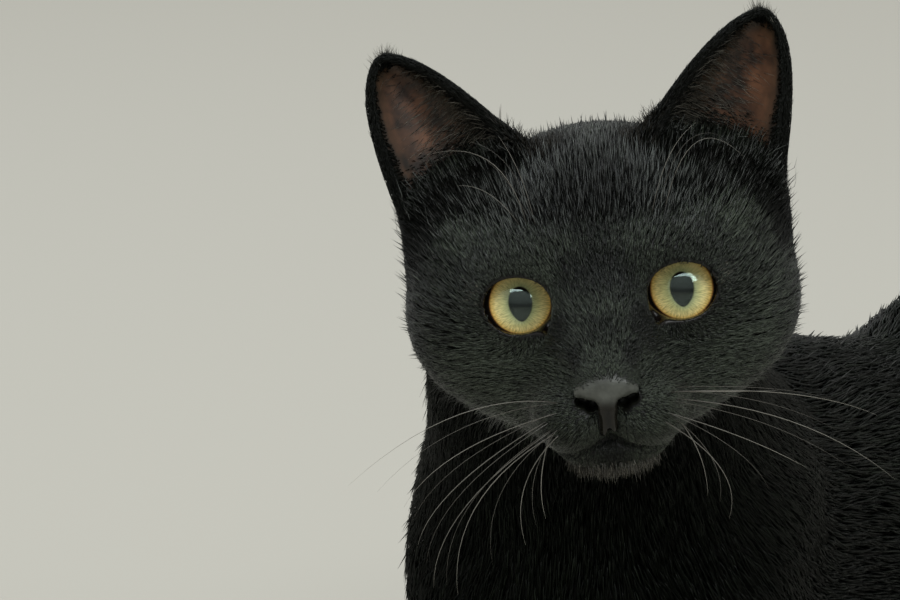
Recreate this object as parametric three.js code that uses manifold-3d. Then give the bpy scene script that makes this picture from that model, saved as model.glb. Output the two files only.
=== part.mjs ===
// A young domestic shorthair cat, life size, lying on its chest with its head raised and turned to its left.
// Millimetres, +Z up, the floor at z = 0. The body faces -Y, so the cat's left side is at +X.
// Every outline is that of the coat, out to the tips of the hair.
import * as THREE from "three";
import { SimplifyModifier } from "three/addons/modifiers/SimplifyModifier.js";
import { mergeVertices } from "three/addons/utils/BufferGeometryUtils.js";
import Module from "manifold-3d";

const wasm = await Module();
wasm.setup();

// ---- Driving sizes ------------------------------------------------------------------------------------

const WITHERS = 148; // height of the back over the shoulders
const LOIN = 125; // height of the back where it dips in front of the hips
const RUMP = 138; // height of the back over the hips
const CHEST_HALF_WIDTH = 54;
const THIGH_HALF_WIDTH = 62; // from the middle of the hips to the outside of a folded knee
const FLOOR_PRESS = 4; // how far the soft underside would reach below the floor if nothing held it up

const HIPS_PLACE = [29, 220, 0]; // the spine bends a little to the cat's left behind the ribs
const HIPS_TURN = -13; // degrees

const EYE_LEVEL = 187; // height of the point midway between the eyes, where the head's own frame starts
const HEAD_PLACE = [33.5, -89.7, EYE_LEVEL];
const HEAD_TURN = 24.7; // degrees to the cat's left
const HEAD_LIFT = 4; // degrees, nose up
const HEAD_LEAN = 6.1; // degrees, crown towards the cat's right
const EYE_SPACING = 40.6;
const EYEBALL_RADIUS = 10.8;
const EYE_DEPTH = 1.6; // centre of the eyeball behind the head's own frame

const EAR_WALL = 2.6;
const GAP = 0.35; // between pieces that touch

// How softly forms run into each other: the distance over which the coat rounds off the crease.
const SOFT = {
  limb: 6,
  toes: 4,
  paw: 6,
  socket: 3,
  muzzle: 5,
  face: 9,
  skull: 12,
  neck: 12,
  thigh: 14,
  pelvis: 16,
  trunk: 22,
  shoulder: 18,
  lowLimb: 12,
  headOnNeck: 16,
  tail: 8,
};

// Each form is wrapped in a fine mesh of these cells, which is then thinned to about this many triangles.
const BODY_MESH = { cell: 4, triangles: 2300 };
const HEAD_MESH = { cell: 2.2, triangles: 1800 };
const CUTTER_MESH = { cell: 7, triangles: 140 };

// ---- Fields -------------------------------------------------------------------------------------------
// A field is a function of x, y and z: negative inside a form, positive outside, close to the distance in mm.

const radians = THREE.MathUtils.degToRad;
const BOTH_SIDES = [1, -1]; // +1 is the cat's left

function frameAt(place, degrees = [0, 0, 0]) {
  const turn = new THREE.Euler(...degrees.map(radians), "ZXY");
  return new THREE.Matrix4()
    .makeRotationFromEuler(turn)
    .setPosition(...place);
}

// The same form, moved to a frame of its own.
function placed(field, frame) {
  const m = frame.clone().invert().elements;
  return (x, y, z) =>
    field(
      m[0] * x + m[4] * y + m[8] * z + m[12],
      m[1] * x + m[5] * y + m[9] * z + m[13],
      m[2] * x + m[6] * y + m[10] * z + m[14],
    );
}

function ball(centre, radii, degrees) {
  const [a, b, c] = radii;
  const round = (x, y, z) => {
    const reach = Math.hypot(x / a, y / b, z / c);
    const slope = Math.hypot(x / a ** 2, y / b ** 2, z / c ** 2);
    return slope > 0 ? (reach * (reach - 1)) / slope : -Math.min(a, b, c);
  };
  return placed(round, frameAt(centre, degrees));
}

// A rounded limb that tapers from one radius to the other.
function limb(from, to, startRadius, endRadius) {
  const [ax, ay, az] = from;
  const [dx, dy, dz] = to.map((value, i) => value - from[i]);
  const square = dx * dx + dy * dy + dz * dz;
  return (x, y, z) => {
    const along = ((x - ax) * dx + (y - ay) * dy + (z - az) * dz) / square;
    const t = Math.min(1, Math.max(0, along));
    const distance = Math.hypot(x - ax - t * dx, y - ay - t * dy, z - az - t * dz);
    return distance - startRadius - t * (endRadius - startRadius);
  };
}

// A smooth curve through rows of [y, value, value...], read off at any y.
function reader(rows) {
  const last = rows.length - 1;
  const slopes = rows.map((row, i) => {
    const [before, after] = [rows[Math.max(i - 1, 0)], rows[Math.min(i + 1, last)]];
    return row.map((_, c) => (after[c] - before[c]) / (after[0] - before[0]));
  });
  return (y) => {
    const held = THREE.MathUtils.clamp(y, rows[0][0], rows[last][0]);
    const next = Math.max(1, rows.findIndex((row) => row[0] >= held));
    const [a, b] = [rows[next - 1], rows[next]];
    const span = b[0] - a[0];
    const t = (held - a[0]) / span;
    return a.map((value, c) => {
      const step = (b[c] - value) * t * t * (3 - 2 * t);
      const bend = (1 - t) * slopes[next - 1][c] - t * slopes[next][c];
      return value + step + span * t * (1 - t) * bend;
    });
  };
}

// A barrel along Y with oval sections, from rows of [y, middle, top, half width].
function barrel(rows, bottom) {
  const read = reader(rows);
  const [start, end] = [rows[0][0], rows.at(-1)[0]];
  return (x, y, z) => {
    const [, middle, top, halfWidth] = read(y);
    const halfHeight = (top - bottom) / 2;
    const reach = Math.hypot((x - middle) / halfWidth, (z - bottom - halfHeight) / halfHeight);
    const side = (reach - 1) * Math.min(halfWidth, halfHeight);
    const beyond = Math.abs(y - (start + end) / 2) - (end - start) / 2;
    return beyond > 0 ? Math.hypot(Math.max(side, 0), beyond) : Math.max(side, beyond);
  };
}

// Several limbs end to end, through points of [x, y, z, radius].
function chain(points) {
  const lengths = points.slice(1).map((to, i) => {
    const from = points[i];
    return limb(from.slice(0, 3), to.slice(0, 3), from[3], to[3]);
  });
  return joined(SOFT.limb, ...lengths);
}

// Soft union: forms closer than `blend` run into each other.
function joined(blend, ...fields) {
  return (x, y, z) =>
    fields.reduce((least, field) => {
      const value = field(x, y, z);
      const overlap = Math.max(blend - Math.abs(least - value), 0);
      return Math.min(least, value) - (overlap * overlap) / (4 * blend);
    }, 1e3);
}

// The first form with the second hollowed out of it, over a soft edge.
function hollowed(blend, field, tool) {
  return (x, y, z) => {
    const outside = field(x, y, z);
    const inside = -tool(x, y, z);
    const overlap = Math.max(blend - Math.abs(outside - inside), 0);
    return Math.max(outside, inside) + (overlap * overlap) / (4 * blend);
  };
}

const mirrored = (point, side) => [point[0] * side, ...point.slice(1)];

// ---- The head, in its own frame: origin midway between the eyes, facing -Y ------------------------------

const EYE_X = EYE_SPACING / 2;
const headFrame = frameAt(HEAD_PLACE, [-HEAD_LIFT, -HEAD_LEAN, HEAD_TURN]);

function headForm() {
  const skull = [
    ball([0, 36, 3], [42, 40, 38]), // crown and back of the head
    ball([0, 11, -2], [41, 22.5, 25]), // the flat of the face
    ball([0, 11, -22], [30, 30, 18]), // jaws
    limb([0, -9.5, -5], [0, 20, 15], 10.5, 19), // forehead
  ];
  for (const side of BOTH_SIDES) {
    const fullness = side > 0 ? 23.2 : 24; // the ruff is fuller on the outside of the neck's bend
    skull.push(ball([28 * side, 22, -5], [fullness, 26, 25])); // cheek ruff
    skull.push(ball([31.5 * side, 27, 17], [16, 16, 16])); // muscle that carries the ear
    skull.push(ball([17.5 * side, -2, 10.5], [10, 8.5, 6.5])); // brow ridge
  }
  const muzzle = [
    limb([0, -12, -5], [0, -25.5, -17], 9, 7.4), // bridge of the nose
    ball([0, -28, -19.5], [8.4, 5.6, 6]), // nose leather
    ball([0, -15.8, -35.2], [13.4, 10.2, 6.4]), // chin
  ];
  for (const side of BOTH_SIDES) {
    muzzle.push(ball([8.6 * side, -17.5, -27], [10.4, 13.4, 9])); // whisker pad
  }
  let head = joined(SOFT.face, joined(SOFT.skull, ...skull), joined(SOFT.muzzle, ...muzzle));
  for (const side of BOTH_SIDES) {
    const opening = ball([EYE_X * side, -10, 0], [9.6, 9, 8.8], [0, 8 * side, 14 * side]);
    head = hollowed(SOFT.socket, head, opening);
  }
  return head;
}

// ---- The body -------------------------------------------------------------------------------------------

const REST = -FLOOR_PRESS; // level of the undersides before the floor flattens them

const hipsFrame = frameAt(HIPS_PLACE, [0, 0, HIPS_TURN]);

function pelvisForm() {
  const halfHeight = 63;
  return joined(
    SOFT.pelvis,
    ball([0, -6, RUMP - halfHeight], [42, 54, halfHeight]),
    limb([0, 24, 68], [0, 44, 56], 30, 18), // root of the tail
  );
}

function trunkForm() {
  const wide = CHEST_HALF_WIDTH;
  const back = [
    [-30, 0, WITHERS - 8, wide * 0.8],
    [10, 0, WITHERS, wide * 0.93],
    [55, 0, WITHERS - 5, wide],
    [100, 3, (WITHERS + LOIN) / 2 - 1, wide * 1.04],
    [150, 11, LOIN, wide * 0.96],
    [190, 21, LOIN + 2, wide * 0.85],
  ];
  const breast = ball([0, -38, 78], [41, 32, 46]);
  return joined(SOFT.trunk, barrel(back, REST), breast, placed(pelvisForm(), hipsFrame));
}

function neckForm() {
  const bend = [3, -32, 150];
  return joined(SOFT.neck, limb([-3, -8, 112], bend, 57, 43.5), limb(bend, [13, -46, 172], 43.5, 37));
}

function shoulderForm(side) {
  const blade = [20 * side, 14, 122, 17];
  const point = [30 * side, -22, 82, 20];
  const elbow = [45 * side, 38, 30, 19];
  return chain([blade, point, elbow]);
}

const FOREARM = { elbow: [45, 34, 20, 19], wrist: [39, -62, 12.5, 13.5] };

function forearmForm(side) {
  return chain([mirrored(FOREARM.elbow, side), mirrored(FOREARM.wrist, side)]);
}

// A paw lies flat and points to -Y from its heel, with four toes across its front.
function pawForm(side, [x, y], length, halfWidth) {
  const height = halfWidth * 0.74;
  const back = y + length * 0.5;
  const palm = ball([x * side, back - length * 0.4, height + REST / 2], [halfWidth, length * 0.48, height]);
  const toes = [-0.66, -0.23, 0.23, 0.66].map((across) => {
    const forward = y - length * 0.5 + halfWidth * (0.46 + 0.75 * across * across);
    const radius = halfWidth * 0.36;
    return ball(
      [x * side + across * halfWidth, forward, radius + REST / 2 + 2.4],
      [radius, radius * 1.6, radius * 1.16],
    );
  });
  return joined(SOFT.toes, palm, ...toes);
}

const FOREPAW = { place: [39, -88], length: 48, halfWidth: 15.5 };
const HINDPAW = { place: [60, -96], length: 46, halfWidth: 14.5 };

// The hind legs are folded under, in the frame of the hips.
function thighForm(side) {
  const knee = THIGH_HALF_WIDTH - 23; // less the flesh and coat outside the bone
  return joined(
    SOFT.thigh,
    chain([
      [21 * side, -4, 78, 40],
      [knee * side, -78, 54, 25],
    ]),
    chain([
      [(knee + 3) * side, -72, 42, 22],
      [(knee + 9) * side, 8, 22, 15],
    ]),
  );
}

function hindFootForm(side) {
  return chain([
    [55 * side, 12, 11, 14],
    [59 * side, -80, 9.5, 12.5],
  ]);
}

// The tail leaves the rump, comes down to the floor and lies along the cat's right side.
const TAIL_ROUTE = new THREE.CatmullRomCurve3(
  [
    [35, 258, 62],
    [35, 286, 36],
    [18, 309, 17],
    [-15, 317, 10.5],
    [-47, 301, 9.5],
    [-69, 268, 9],
    [-79, 226, 8.2],
    [-79, 182, 7.4],
  ].map((point) => new THREE.Vector3(...point)),
);
const TAIL_STEPS = 14;
const TAIL_CUTS = [0.36, 0.68]; // shares of the route where it is parted
const TAIL_NAMES = ["tail_root", "tail_middle", "tail_tip"];

// The coat makes the tail stoutest just behind its root.
const tailRadius = (share) => 13.5 - 1.2 * share - 4.2 * share ** 3;

function tailForm() {
  const points = Array.from({ length: TAIL_STEPS + 1 }, (_, i) => {
    const share = i / TAIL_STEPS;
    return [...TAIL_ROUTE.getPoint(share).toArray(), tailRadius(share)];
  });
  return chain(points);
}

const tail = tailForm();
const leftAndRight = (form) => BOTH_SIDES.map((side) => form(side));
const forepaws = leftAndRight((side) => pawForm(side, FOREPAW.place, FOREPAW.length, FOREPAW.halfWidth));
const atHips = (form) => leftAndRight((side) => placed(form(side), hipsFrame));
const hindpaws = atHips((side) => pawForm(side, HINDPAW.place, HINDPAW.length, HINDPAW.halfWidth));
const hindlegs = atHips(thighForm);
const hindfeet = atHips(hindFootForm);

const mass = joined(SOFT.shoulder, trunkForm(), neckForm(), ...hindlegs, ...leftAndRight(shoulderForm));
const body = joined(SOFT.lowLimb, mass, ...leftAndRight(forearmForm), ...hindfeet);
const bodyWithPaws = joined(SOFT.paw, body, ...forepaws, ...hindpaws);
const bodyWithHead = joined(SOFT.headOnNeck, bodyWithPaws, placed(headForm(), headFrame));
const cat = joined(SOFT.tail, bodyWithHead, tail);

// ---- Meshes and solids ----------------------------------------------------------------------------------

// Wraps a field in a closed mesh: one vertex for each grid cell that the surface passes through, pulled onto
// the surface, and two triangles for each grid edge that crosses it.
function wrap(field, low, high, cell) {
  const count = low.map((value, i) => Math.ceil((high[i] - value) / cell) + 1);
  const strides = [1, count[0], count[0] * count[1]];
  const values = new Float32Array(count[0] * count[1] * count[2]);
  const at = (i, axis) => low[axis] + i * cell;
  const everyCell = (last, visit) => {
    for (let k = 0; k < count[2] - last; k++)
      for (let j = 0; j < count[1] - last; j++)
        for (let i = 0; i < count[0] - last; i++) visit([i, j, k], i + j * strides[1] + k * strides[2]);
  };
  everyCell(0, (place, n) => {
    const onBorder = place.some((value, axis) => value === 0 || value === count[axis] - 1);
    const value = field(...place.map(at));
    values[n] = onBorder ? Math.max(value, cell / 2) : value;
  });

  const vertexOf = new Map();
  const positions = [];
  everyCell(1, (place, n) => {
    const sum = [0, 0, 0];
    let crossings = 0;
    for (let axis = 0; axis < 3; axis++)
      for (const [u, v] of [[0, 0], [0, 1], [1, 0], [1, 1]]) {
        const corner = [0, 0, 0];
        corner[(axis + 1) % 3] = u;
        corner[(axis + 2) % 3] = v;
        const start = n + corner[0] * strides[0] + corner[1] * strides[1] + corner[2] * strides[2];
        const [a, b] = [values[start], values[start + strides[axis]]];
        if (a < 0 === b < 0) continue;
        corner[axis] = a / (a - b);
        corner.forEach((value, i) => (sum[i] += value));
        crossings++;
      }
    if (!crossings) return;
    vertexOf.set(n, positions.length / 3);
    const start = place.map((value, axis) => at(value + sum[axis] / crossings, axis));
    positions.push(...pulled(field, start, cell / 3));
  });

  const triangles = [];
  everyCell(1, (place, n) => {
    for (let axis = 0; axis < 3; axis++) {
      const [u, v] = [(axis + 1) % 3, (axis + 2) % 3];
      const inside = values[n] < 0;
      if (place[u] === 0 || place[v] === 0 || inside === values[n + strides[axis]] < 0) continue;
      const around = [n, n - strides[u], n - strides[u] - strides[v], n - strides[v]];
      const [a, b, c, d] = around.map((id) => vertexOf.get(id));
      triangles.push(...(inside ? [a, b, c, a, c, d] : [a, c, b, a, d, c]));
    }
  });
  return geometryFrom(positions, triangles);
}

function geometryFrom(positions, triangles) {
  return new THREE.BufferGeometry()
    .setAttribute("position", new THREE.BufferAttribute(new Float32Array(positions), 3))
    .setIndex(new THREE.BufferAttribute(new Uint32Array(triangles), 1));
}

// One step of a point towards the surface of a field, no longer than `most`.
function pulled(field, point, most) {
  const small = 0.5;
  const slope = point.map((_, axis) => {
    const [ahead, behind] = [small, -small].map((shift) => {
      const moved = [...point];
      moved[axis] += shift;
      return field(...moved);
    });
    return (ahead - behind) / (2 * small);
  });
  const square = slope.reduce((sum, value) => sum + value * value, 0);
  const step = -field(...point) / Math.max(square, 0.2);
  const share = Math.min(1, most / Math.max(Math.abs(step) * Math.sqrt(square), 1e-6));
  return point.map((value, axis) => value + slope[axis] * step * share);
}

// A wrapped field with its mesh thinned where it is nearly flat.
async function wrapThinly(field, [low, high], { cell, triangles }) {
  const fine = wrap(field, low, high, cell);
  const surplus = fine.attributes.position.count - triangles / 2;
  return surplus > 0 ? new SimplifyModifier().modify(fine, surplus) : fine;
}

function solidOf(geometry) {
  const bare = geometry.clone();
  Object.keys(bare.attributes)
    .filter((name) => name !== "position")
    .forEach((name) => bare.deleteAttribute(name));
  const whole = mergeVertices(bare, 1e-4);
  return new wasm.Manifold(
    new wasm.Mesh({
      numProp: 3,
      vertProperties: new Float32Array(whole.attributes.position.array),
      triVerts: new Uint32Array(whole.index.array),
    }),
  );
}

function geometryOf(solid) {
  const mesh = solid.getMesh();
  const positions = [];
  for (let i = 0; i < mesh.numVert; i++) {
    positions.push(...mesh.vertProperties.subarray(i * mesh.numProp, i * mesh.numProp + 3));
  }
  const geometry = geometryFrom(positions, mesh.triVerts);
  geometry.computeVertexNormals();
  return geometry;
}

// The same mesh with its surface moved outwards.
function grown(geometry, by) {
  const larger = geometry.clone();
  larger.computeVertexNormals();
  const { position, normal } = larger.attributes;
  position.array.forEach((value, i) => (position.array[i] = value + normal.array[i] * by));
  return larger;
}

const largest = (solid) => solid.decompose().sort((a, b) => b.volume() - a.volume())[0];

// A block big enough to cut anything here, whose top face is the plane through `point` across `normal`.
function blockBelow(point, normal, lift = 0) {
  const size = 700;
  const up = new THREE.Vector3(...normal).normalize();
  const turn = new THREE.Quaternion().setFromUnitVectors(new THREE.Vector3(0, 0, 1), up);
  const block = new THREE.BoxGeometry(size, size, size).translate(0, 0, lift - size / 2);
  return solidOf(block.applyQuaternion(turn).translate(...point));
}

// Cuts a solid along a plane and takes the gap out of both sides. The first piece is the one the normal
// points to.
function parted(solid, { point, normal }) {
  const front = solid.subtract(blockBelow(point, normal, GAP / 2));
  const back = solid.intersect(blockBelow(point, normal, -GAP / 2));
  return [largest(front), largest(back)];
}

// Takes out of a solid what lies inside a cutter, and leaves the gap around it.
function cutOut(solid, cutter) {
  const [tool, room] = [solidOf(cutter), solidOf(grown(cutter, GAP))];
  return [largest(solid.intersect(tool)), largest(solid.subtract(room).subtract(tool))];
}

// ---- The ears, in the head's frame ----------------------------------------------------------------------

// Edges of the left ear as curves from the head to the tip.
const EAR_INNER = [[11, 23, 31], [26, 21, 50], [39, 26, 63.5], [49.3, 29, 63.3]];
const EAR_OUTER = [[45, 24, 8], [49.8, 22, 30], [58.5, 27, 54], [49.3, 29, 63.3]];
const EAR_SWING = -0.03; // both ears lean towards the cat's right, as a share of their height
const EAR_TILT = 0.025; // the left ear is raised and the right one lowered, as a share of their width
const EAR_TIP = 0.97; // share of the edges kept, so that the tip is round
const EAR_CUP = 13; // depth of the hollow behind its edges, at the base
const EAR_CUP_WAY = new THREE.Vector3(-0.34, 0.9, 0.1);
const EAR_STEPS = 6;

function earGeometry(side) {
  const curveOf = (points) => new THREE.CubicBezierCurve3(...points.map((p) => new THREE.Vector3(...p)));
  const [inner, outer] = [curveOf(EAR_INNER), curveOf(EAR_OUTER)];
  const middle = (across, up) => {
    const place = inner.getPoint(up * EAR_TIP).lerp(outer.getPoint(up * EAR_TIP), across);
    const cup = EAR_CUP * 4 * across * (1 - across) * (1 - 0.75 * up * up);
    place.addScaledVector(EAR_CUP_WAY, cup);
    return place.set(place.x + side * EAR_SWING * place.z, place.y, place.z + side * EAR_TILT * place.x);
  };
  const small = 1e-3;
  const facing = (across, up) => {
    const u = middle(across + small, up).sub(middle(across - small, up));
    const v = middle(across, up + small).sub(middle(across, up - small));
    return u.cross(v).normalize();
  };
  const positions = [];
  for (const face of [1, -1])
    for (let j = 0; j <= EAR_STEPS; j++)
      for (let i = 0; i <= EAR_STEPS; i++) {
        const across = Math.min(1 - small, Math.max(small, i / EAR_STEPS));
        const up = Math.min(1 - small, Math.max(small, j / EAR_STEPS));
        const onRim = i === 0 || i === EAR_STEPS || j === EAR_STEPS;
        const wall = EAR_WALL * (onRim ? 0.6 : 1) * (1.25 - 0.4 * up);
        const point = middle(across, up).addScaledVector(facing(across, up), (face * wall) / 2);
        positions.push(point.x * side, point.y, point.z);
      }
  const row = EAR_STEPS + 1;
  const sheet = row * row;
  const triangles = [];
  const quad = (a, b, c, d) => triangles.push(...(side > 0 ? [a, b, c, a, c, d] : [a, c, b, a, d, c]));
  for (let j = 0; j < EAR_STEPS; j++)
    for (let i = 0; i < EAR_STEPS; i++) {
      const n = j * row + i;
      quad(n, n + 1, n + row + 1, n + row);
      quad(sheet + n, sheet + n + row, sheet + n + row + 1, sheet + n + 1);
    }
  for (let i = 0; i < EAR_STEPS; i++) {
    const top = EAR_STEPS * row + i;
    const [left, right] = [i * row, i * row + EAR_STEPS];
    quad(i, sheet + i, sheet + i + 1, i + 1);
    quad(top + 1, sheet + top + 1, sheet + top, top);
    quad(left + row, sheet + left + row, sheet + left, left);
    quad(right, sheet + right, sheet + right + row, right + row);
  }
  return geometryFrom(positions, triangles);
}

// ---- Cutting the cat into its parts ---------------------------------------------------------------------

const nodes = new Map(); // name to { geometry, coat, inHead, place }
const keep = (name, solid, more = {}) => nodes.set(name, { geometry: geometryOf(solid), coat: "fur", ...more });
const labelled = (name, side) => `${name}_${side > 0 ? "left" : "right"}`;
const wider = (field, by) => (x, y, z) => field(x, y, z) - by;

// Corners of the boxes that the forms are wrapped in.
const CAT_BOX = [[-112, -130, -16], [116, 342, 216]];
const HEAD_BOX = [[-62, -46, -62], [62, 100, 60]]; // in the head's own frame
const TAIL_BOX = [[-110, 150, -30], [60, 350, 100]];
const FORELEG_BOX = [[-40, -150, -30], [130, 100, 180]];
const HINDLEG_BOX = [[-40, 60, -30], [130, 310, 180]];

// The head is wrapped more finely than the body, in its own frame, and parted from the neck behind the jaw.
const NECK_CUT = { point: [0, 45, -13], normal: [0, -0.766, 0.643] };
const NECK_BASE_CUT = { point: [0, -6, 140], normal: [0, -0.566, 0.824] };
const COAT_ROUND_LIMB = 3; // taken with each limb where it leaves the trunk
const catFromHead = placed(cat, headFrame.clone().invert());
const headWrap = await wrapThinly(catFromHead, HEAD_BOX, HEAD_MESH);
const headWhole = parted(solidOf(headWrap), NECK_CUT)[0];

const eyePlace = (side) => [EYE_X * side, EYE_DEPTH, 0];
const eyeball = (radius) => new THREE.SphereGeometry(radius, 14, 10).rotateX(Math.PI / 2);
const sockets = leftAndRight((side) => solidOf(eyeball(EYEBALL_RADIUS + GAP).translate(...eyePlace(side))));
const headSolid = sockets.reduce((solid, socket) => solid.subtract(socket), headWhole);
keep("head", largest(headSolid), { inHead: true });

const earRoom = solidOf(grown(geometryOf(headWhole), GAP));
for (const side of BOTH_SIDES) {
  const ear = solidOf(earGeometry(side)).subtract(earRoom);
  keep(labelled("ear", side), largest(ear), { inHead: true });
  keep(labelled("eye", side), solidOf(eyeball(EYEBALL_RADIUS)), {
    inHead: true,
    place: eyePlace(side),
    coat: "eye",
  });
}

// The rest loses the head by the same cut.
const headCut = {
  point: new THREE.Vector3(...NECK_CUT.point).applyMatrix4(headFrame).toArray(),
  normal: new THREE.Vector3(...NECK_CUT.normal).transformDirection(headFrame).toArray(),
};
const catWrap = await wrapThinly(cat, CAT_BOX, BODY_MESH);
const onFloor = solidOf(catWrap).subtract(blockBelow([0, 0, 0], [0, 0, 1]));
const [neck, trunkAndLegs] = parted(parted(onFloor, headCut)[1], NECK_BASE_CUT);
keep("neck", neck);

// Each limb is what lies inside its own form, a little widened to take in the coat around it.
let trunk = trunkAndLegs;
async function takeLimb(field, box) {
  const cutter = await wrapThinly(wider(field, COAT_ROUND_LIMB), box, CUTTER_MESH);
  const [piece, rest] = cutOut(trunk, cutter);
  trunk = rest;
  return piece;
}

let tailRest = await takeLimb(tail, TAIL_BOX);
TAIL_CUTS.forEach((share, i) => {
  const point = TAIL_ROUTE.getPoint(share).toArray();
  const normal = TAIL_ROUTE.getTangent(share).negate().toArray();
  const [near, far] = parted(tailRest, { point, normal });
  keep(TAIL_NAMES[i], near);
  tailRest = far;
});
keep(TAIL_NAMES.at(-1), tailRest);

// The box for a limb of the left side, or its mirror image.
function boxFor(side, [low, high]) {
  if (side > 0) return [low, high];
  return [[-high[0], ...low.slice(1)], [-low[0], ...high.slice(1)]];
}

for (const [i, side] of BOTH_SIDES.entries()) {
  const upperArm = limb([28 * side, -18, 92], [45 * side, 36, 32], 32, 20);
  const reach = joined(SOFT.limb, upperArm, forearmForm(side), forepaws[i]);
  const foreleg = await takeLimb(reach, boxFor(side, FORELEG_BOX));
  const wrist = { point: [0, FOREARM.wrist[1] - 4, 0], normal: [0, 1, 0] };
  const [arm, paw] = parted(foreleg, wrist);
  keep(labelled("foreleg", side), arm);
  keep(labelled("forepaw", side), paw);

  const foot = await takeLimb(joined(SOFT.paw, hindfeet[i], hindpaws[i]), boxFor(side, HINDLEG_BOX));
  keep(labelled("hindfoot", side), foot);
  const haunch = placed(limb([28 * side, -4, 80], [44 * side, -70, 58], 42, 30), hipsFrame);
  const leg = await takeLimb(joined(SOFT.thigh, haunch, hindlegs[i]), boxFor(side, HINDLEG_BOX));
  keep(labelled("hindleg", side), leg);
}
keep("trunk", trunk);

// ---- The model ------------------------------------------------------------------------------------------

const MATERIALS = {
  fur: new THREE.MeshStandardMaterial({ color: 0x121311, roughness: 0.6, metalness: 0 }),
  eye: new THREE.MeshStandardMaterial({ color: 0xb9a55a, roughness: 0.1, metalness: 0 }),
};

const lying = new THREE.Group();
const head = new THREE.Group();
head.applyMatrix4(headFrame);
lying.add(head);
for (const [name, { geometry, inHead, place = [0, 0, 0], coat }] of nodes) {
  const mesh = new THREE.Mesh(geometry, MATERIALS[coat]);
  mesh.name = name;
  mesh.position.set(...place);
  (inHead ? head : lying).add(mesh);
}

// The origin is on the floor, under the middle of the whole.
const bounds = new THREE.Box3().setFromObject(lying, true);
const centre = bounds.getCenter(new THREE.Vector3());
lying.position.set(-centre.x, -centre.y, -bounds.min.z);

const model = new THREE.Group();
model.add(lying);

export default model;
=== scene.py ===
# %% [markdown]
# # A black domestic shorthair cat, life size
# The cat lies on its chest with its head raised and turned to its left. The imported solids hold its
# true outline, out to the tips of the hair. Here they are covered by what a visitor sees: one skin
# without a seam, two eyes with clear corneas, a short coat of thin tufts over that skin, and
# whiskers. A living shape has no flat faces or true cylinders, so the skin is written as a field: a
# formula that says how far any point is from the surface. Fields are easy to blend softly, as flesh
# is, and one wrapping turns the sum into a mesh.

import bmesh
import bpy
import numpy as np
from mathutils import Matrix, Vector
from mathutils.bvhtree import BVHTree


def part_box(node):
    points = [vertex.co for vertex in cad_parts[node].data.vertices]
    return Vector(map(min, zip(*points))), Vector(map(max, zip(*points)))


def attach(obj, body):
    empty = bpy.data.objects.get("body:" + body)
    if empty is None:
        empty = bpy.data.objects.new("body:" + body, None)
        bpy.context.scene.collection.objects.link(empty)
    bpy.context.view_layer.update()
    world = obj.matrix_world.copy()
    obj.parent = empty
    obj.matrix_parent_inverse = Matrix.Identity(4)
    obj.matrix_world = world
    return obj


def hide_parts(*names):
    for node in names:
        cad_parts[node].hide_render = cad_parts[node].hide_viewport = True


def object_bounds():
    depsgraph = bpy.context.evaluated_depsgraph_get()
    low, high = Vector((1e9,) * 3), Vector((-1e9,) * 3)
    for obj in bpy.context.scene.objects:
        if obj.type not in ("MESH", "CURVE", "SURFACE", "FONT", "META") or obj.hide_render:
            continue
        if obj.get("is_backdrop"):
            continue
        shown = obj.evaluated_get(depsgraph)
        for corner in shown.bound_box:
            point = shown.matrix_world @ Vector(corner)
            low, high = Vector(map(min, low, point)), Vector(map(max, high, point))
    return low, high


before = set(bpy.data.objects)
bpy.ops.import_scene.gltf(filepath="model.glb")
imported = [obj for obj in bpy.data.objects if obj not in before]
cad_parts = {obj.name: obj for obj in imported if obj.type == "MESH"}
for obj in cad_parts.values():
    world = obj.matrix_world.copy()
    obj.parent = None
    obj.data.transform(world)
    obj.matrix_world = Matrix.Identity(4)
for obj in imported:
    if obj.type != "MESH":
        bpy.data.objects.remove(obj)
cad_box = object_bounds()
print("nodes in the frame:", len(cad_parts))

# %% [markdown]
# ## Small helpers
# Lengths below are millimetres, as an artist measures a cat, and they become metres only when a
# mesh is made. Colours are written as sRGB hex values. Blender shades with linear light, so one
# function turns them.

# %% Helpers for colours, nodes and meshes
MM = 0.001
BOTH_SIDES = (1, -1)  # +1 is the cat's left


def colour(hex_value):
    """A hex colour as linear red, green, blue and alpha."""
    shares = [int(hex_value[i : i + 2], 16) / 255 for i in (1, 3, 5)]
    return [s / 12.92 if s <= 0.04045 else ((s + 0.055) / 1.055) ** 2.4 for s in shares] + [1.0]


def add_node(tree, kind, settings=None, **inputs):
    """Adds one node. An input is a value, or the output socket that feeds it."""
    node = tree.nodes.new(kind)
    for name, value in (settings or {}).items():
        setattr(node, name, value)
    for name, value in inputs.items():
        key = int(name[1:]) if name[0] == "_" else name.replace("_", " ")
        socket = node.inputs[key]
        if isinstance(value, bpy.types.NodeSocket):
            tree.links.new(value, socket)
        else:
            socket.default_value = value
    return node


def mesh_object(name, points, faces):
    """A mesh object from points in millimetres and an array of faces with equal numbers of corners."""
    mesh = bpy.data.meshes.new(name)
    points = np.asarray(points, np.float32) * MM
    faces = np.asarray(faces, np.int32)
    mesh.vertices.add(len(points))
    mesh.vertices.foreach_set("co", points.ravel())
    mesh.loops.add(faces.size)
    mesh.loops.foreach_set("vertex_index", faces.ravel())
    mesh.polygons.add(len(faces))
    mesh.polygons.foreach_set("loop_start", np.arange(0, faces.size, faces.shape[1], dtype=np.int32))
    mesh.polygons.foreach_set("use_smooth", np.ones(len(faces), bool))
    mesh.update(calc_edges=True)
    thing = bpy.data.objects.new(name, mesh)
    bpy.context.scene.collection.objects.link(thing)
    return thing


# %% [markdown]
# ## Fields
# A field takes an array of points and gives the distance of each from a surface, negative inside. A
# ball, a tapering limb and a soft union are enough for an animal. They are the same forms as in the
# solids, so the skin lies where the frame is, and it is then drawn in by the depth of the coat.

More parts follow.
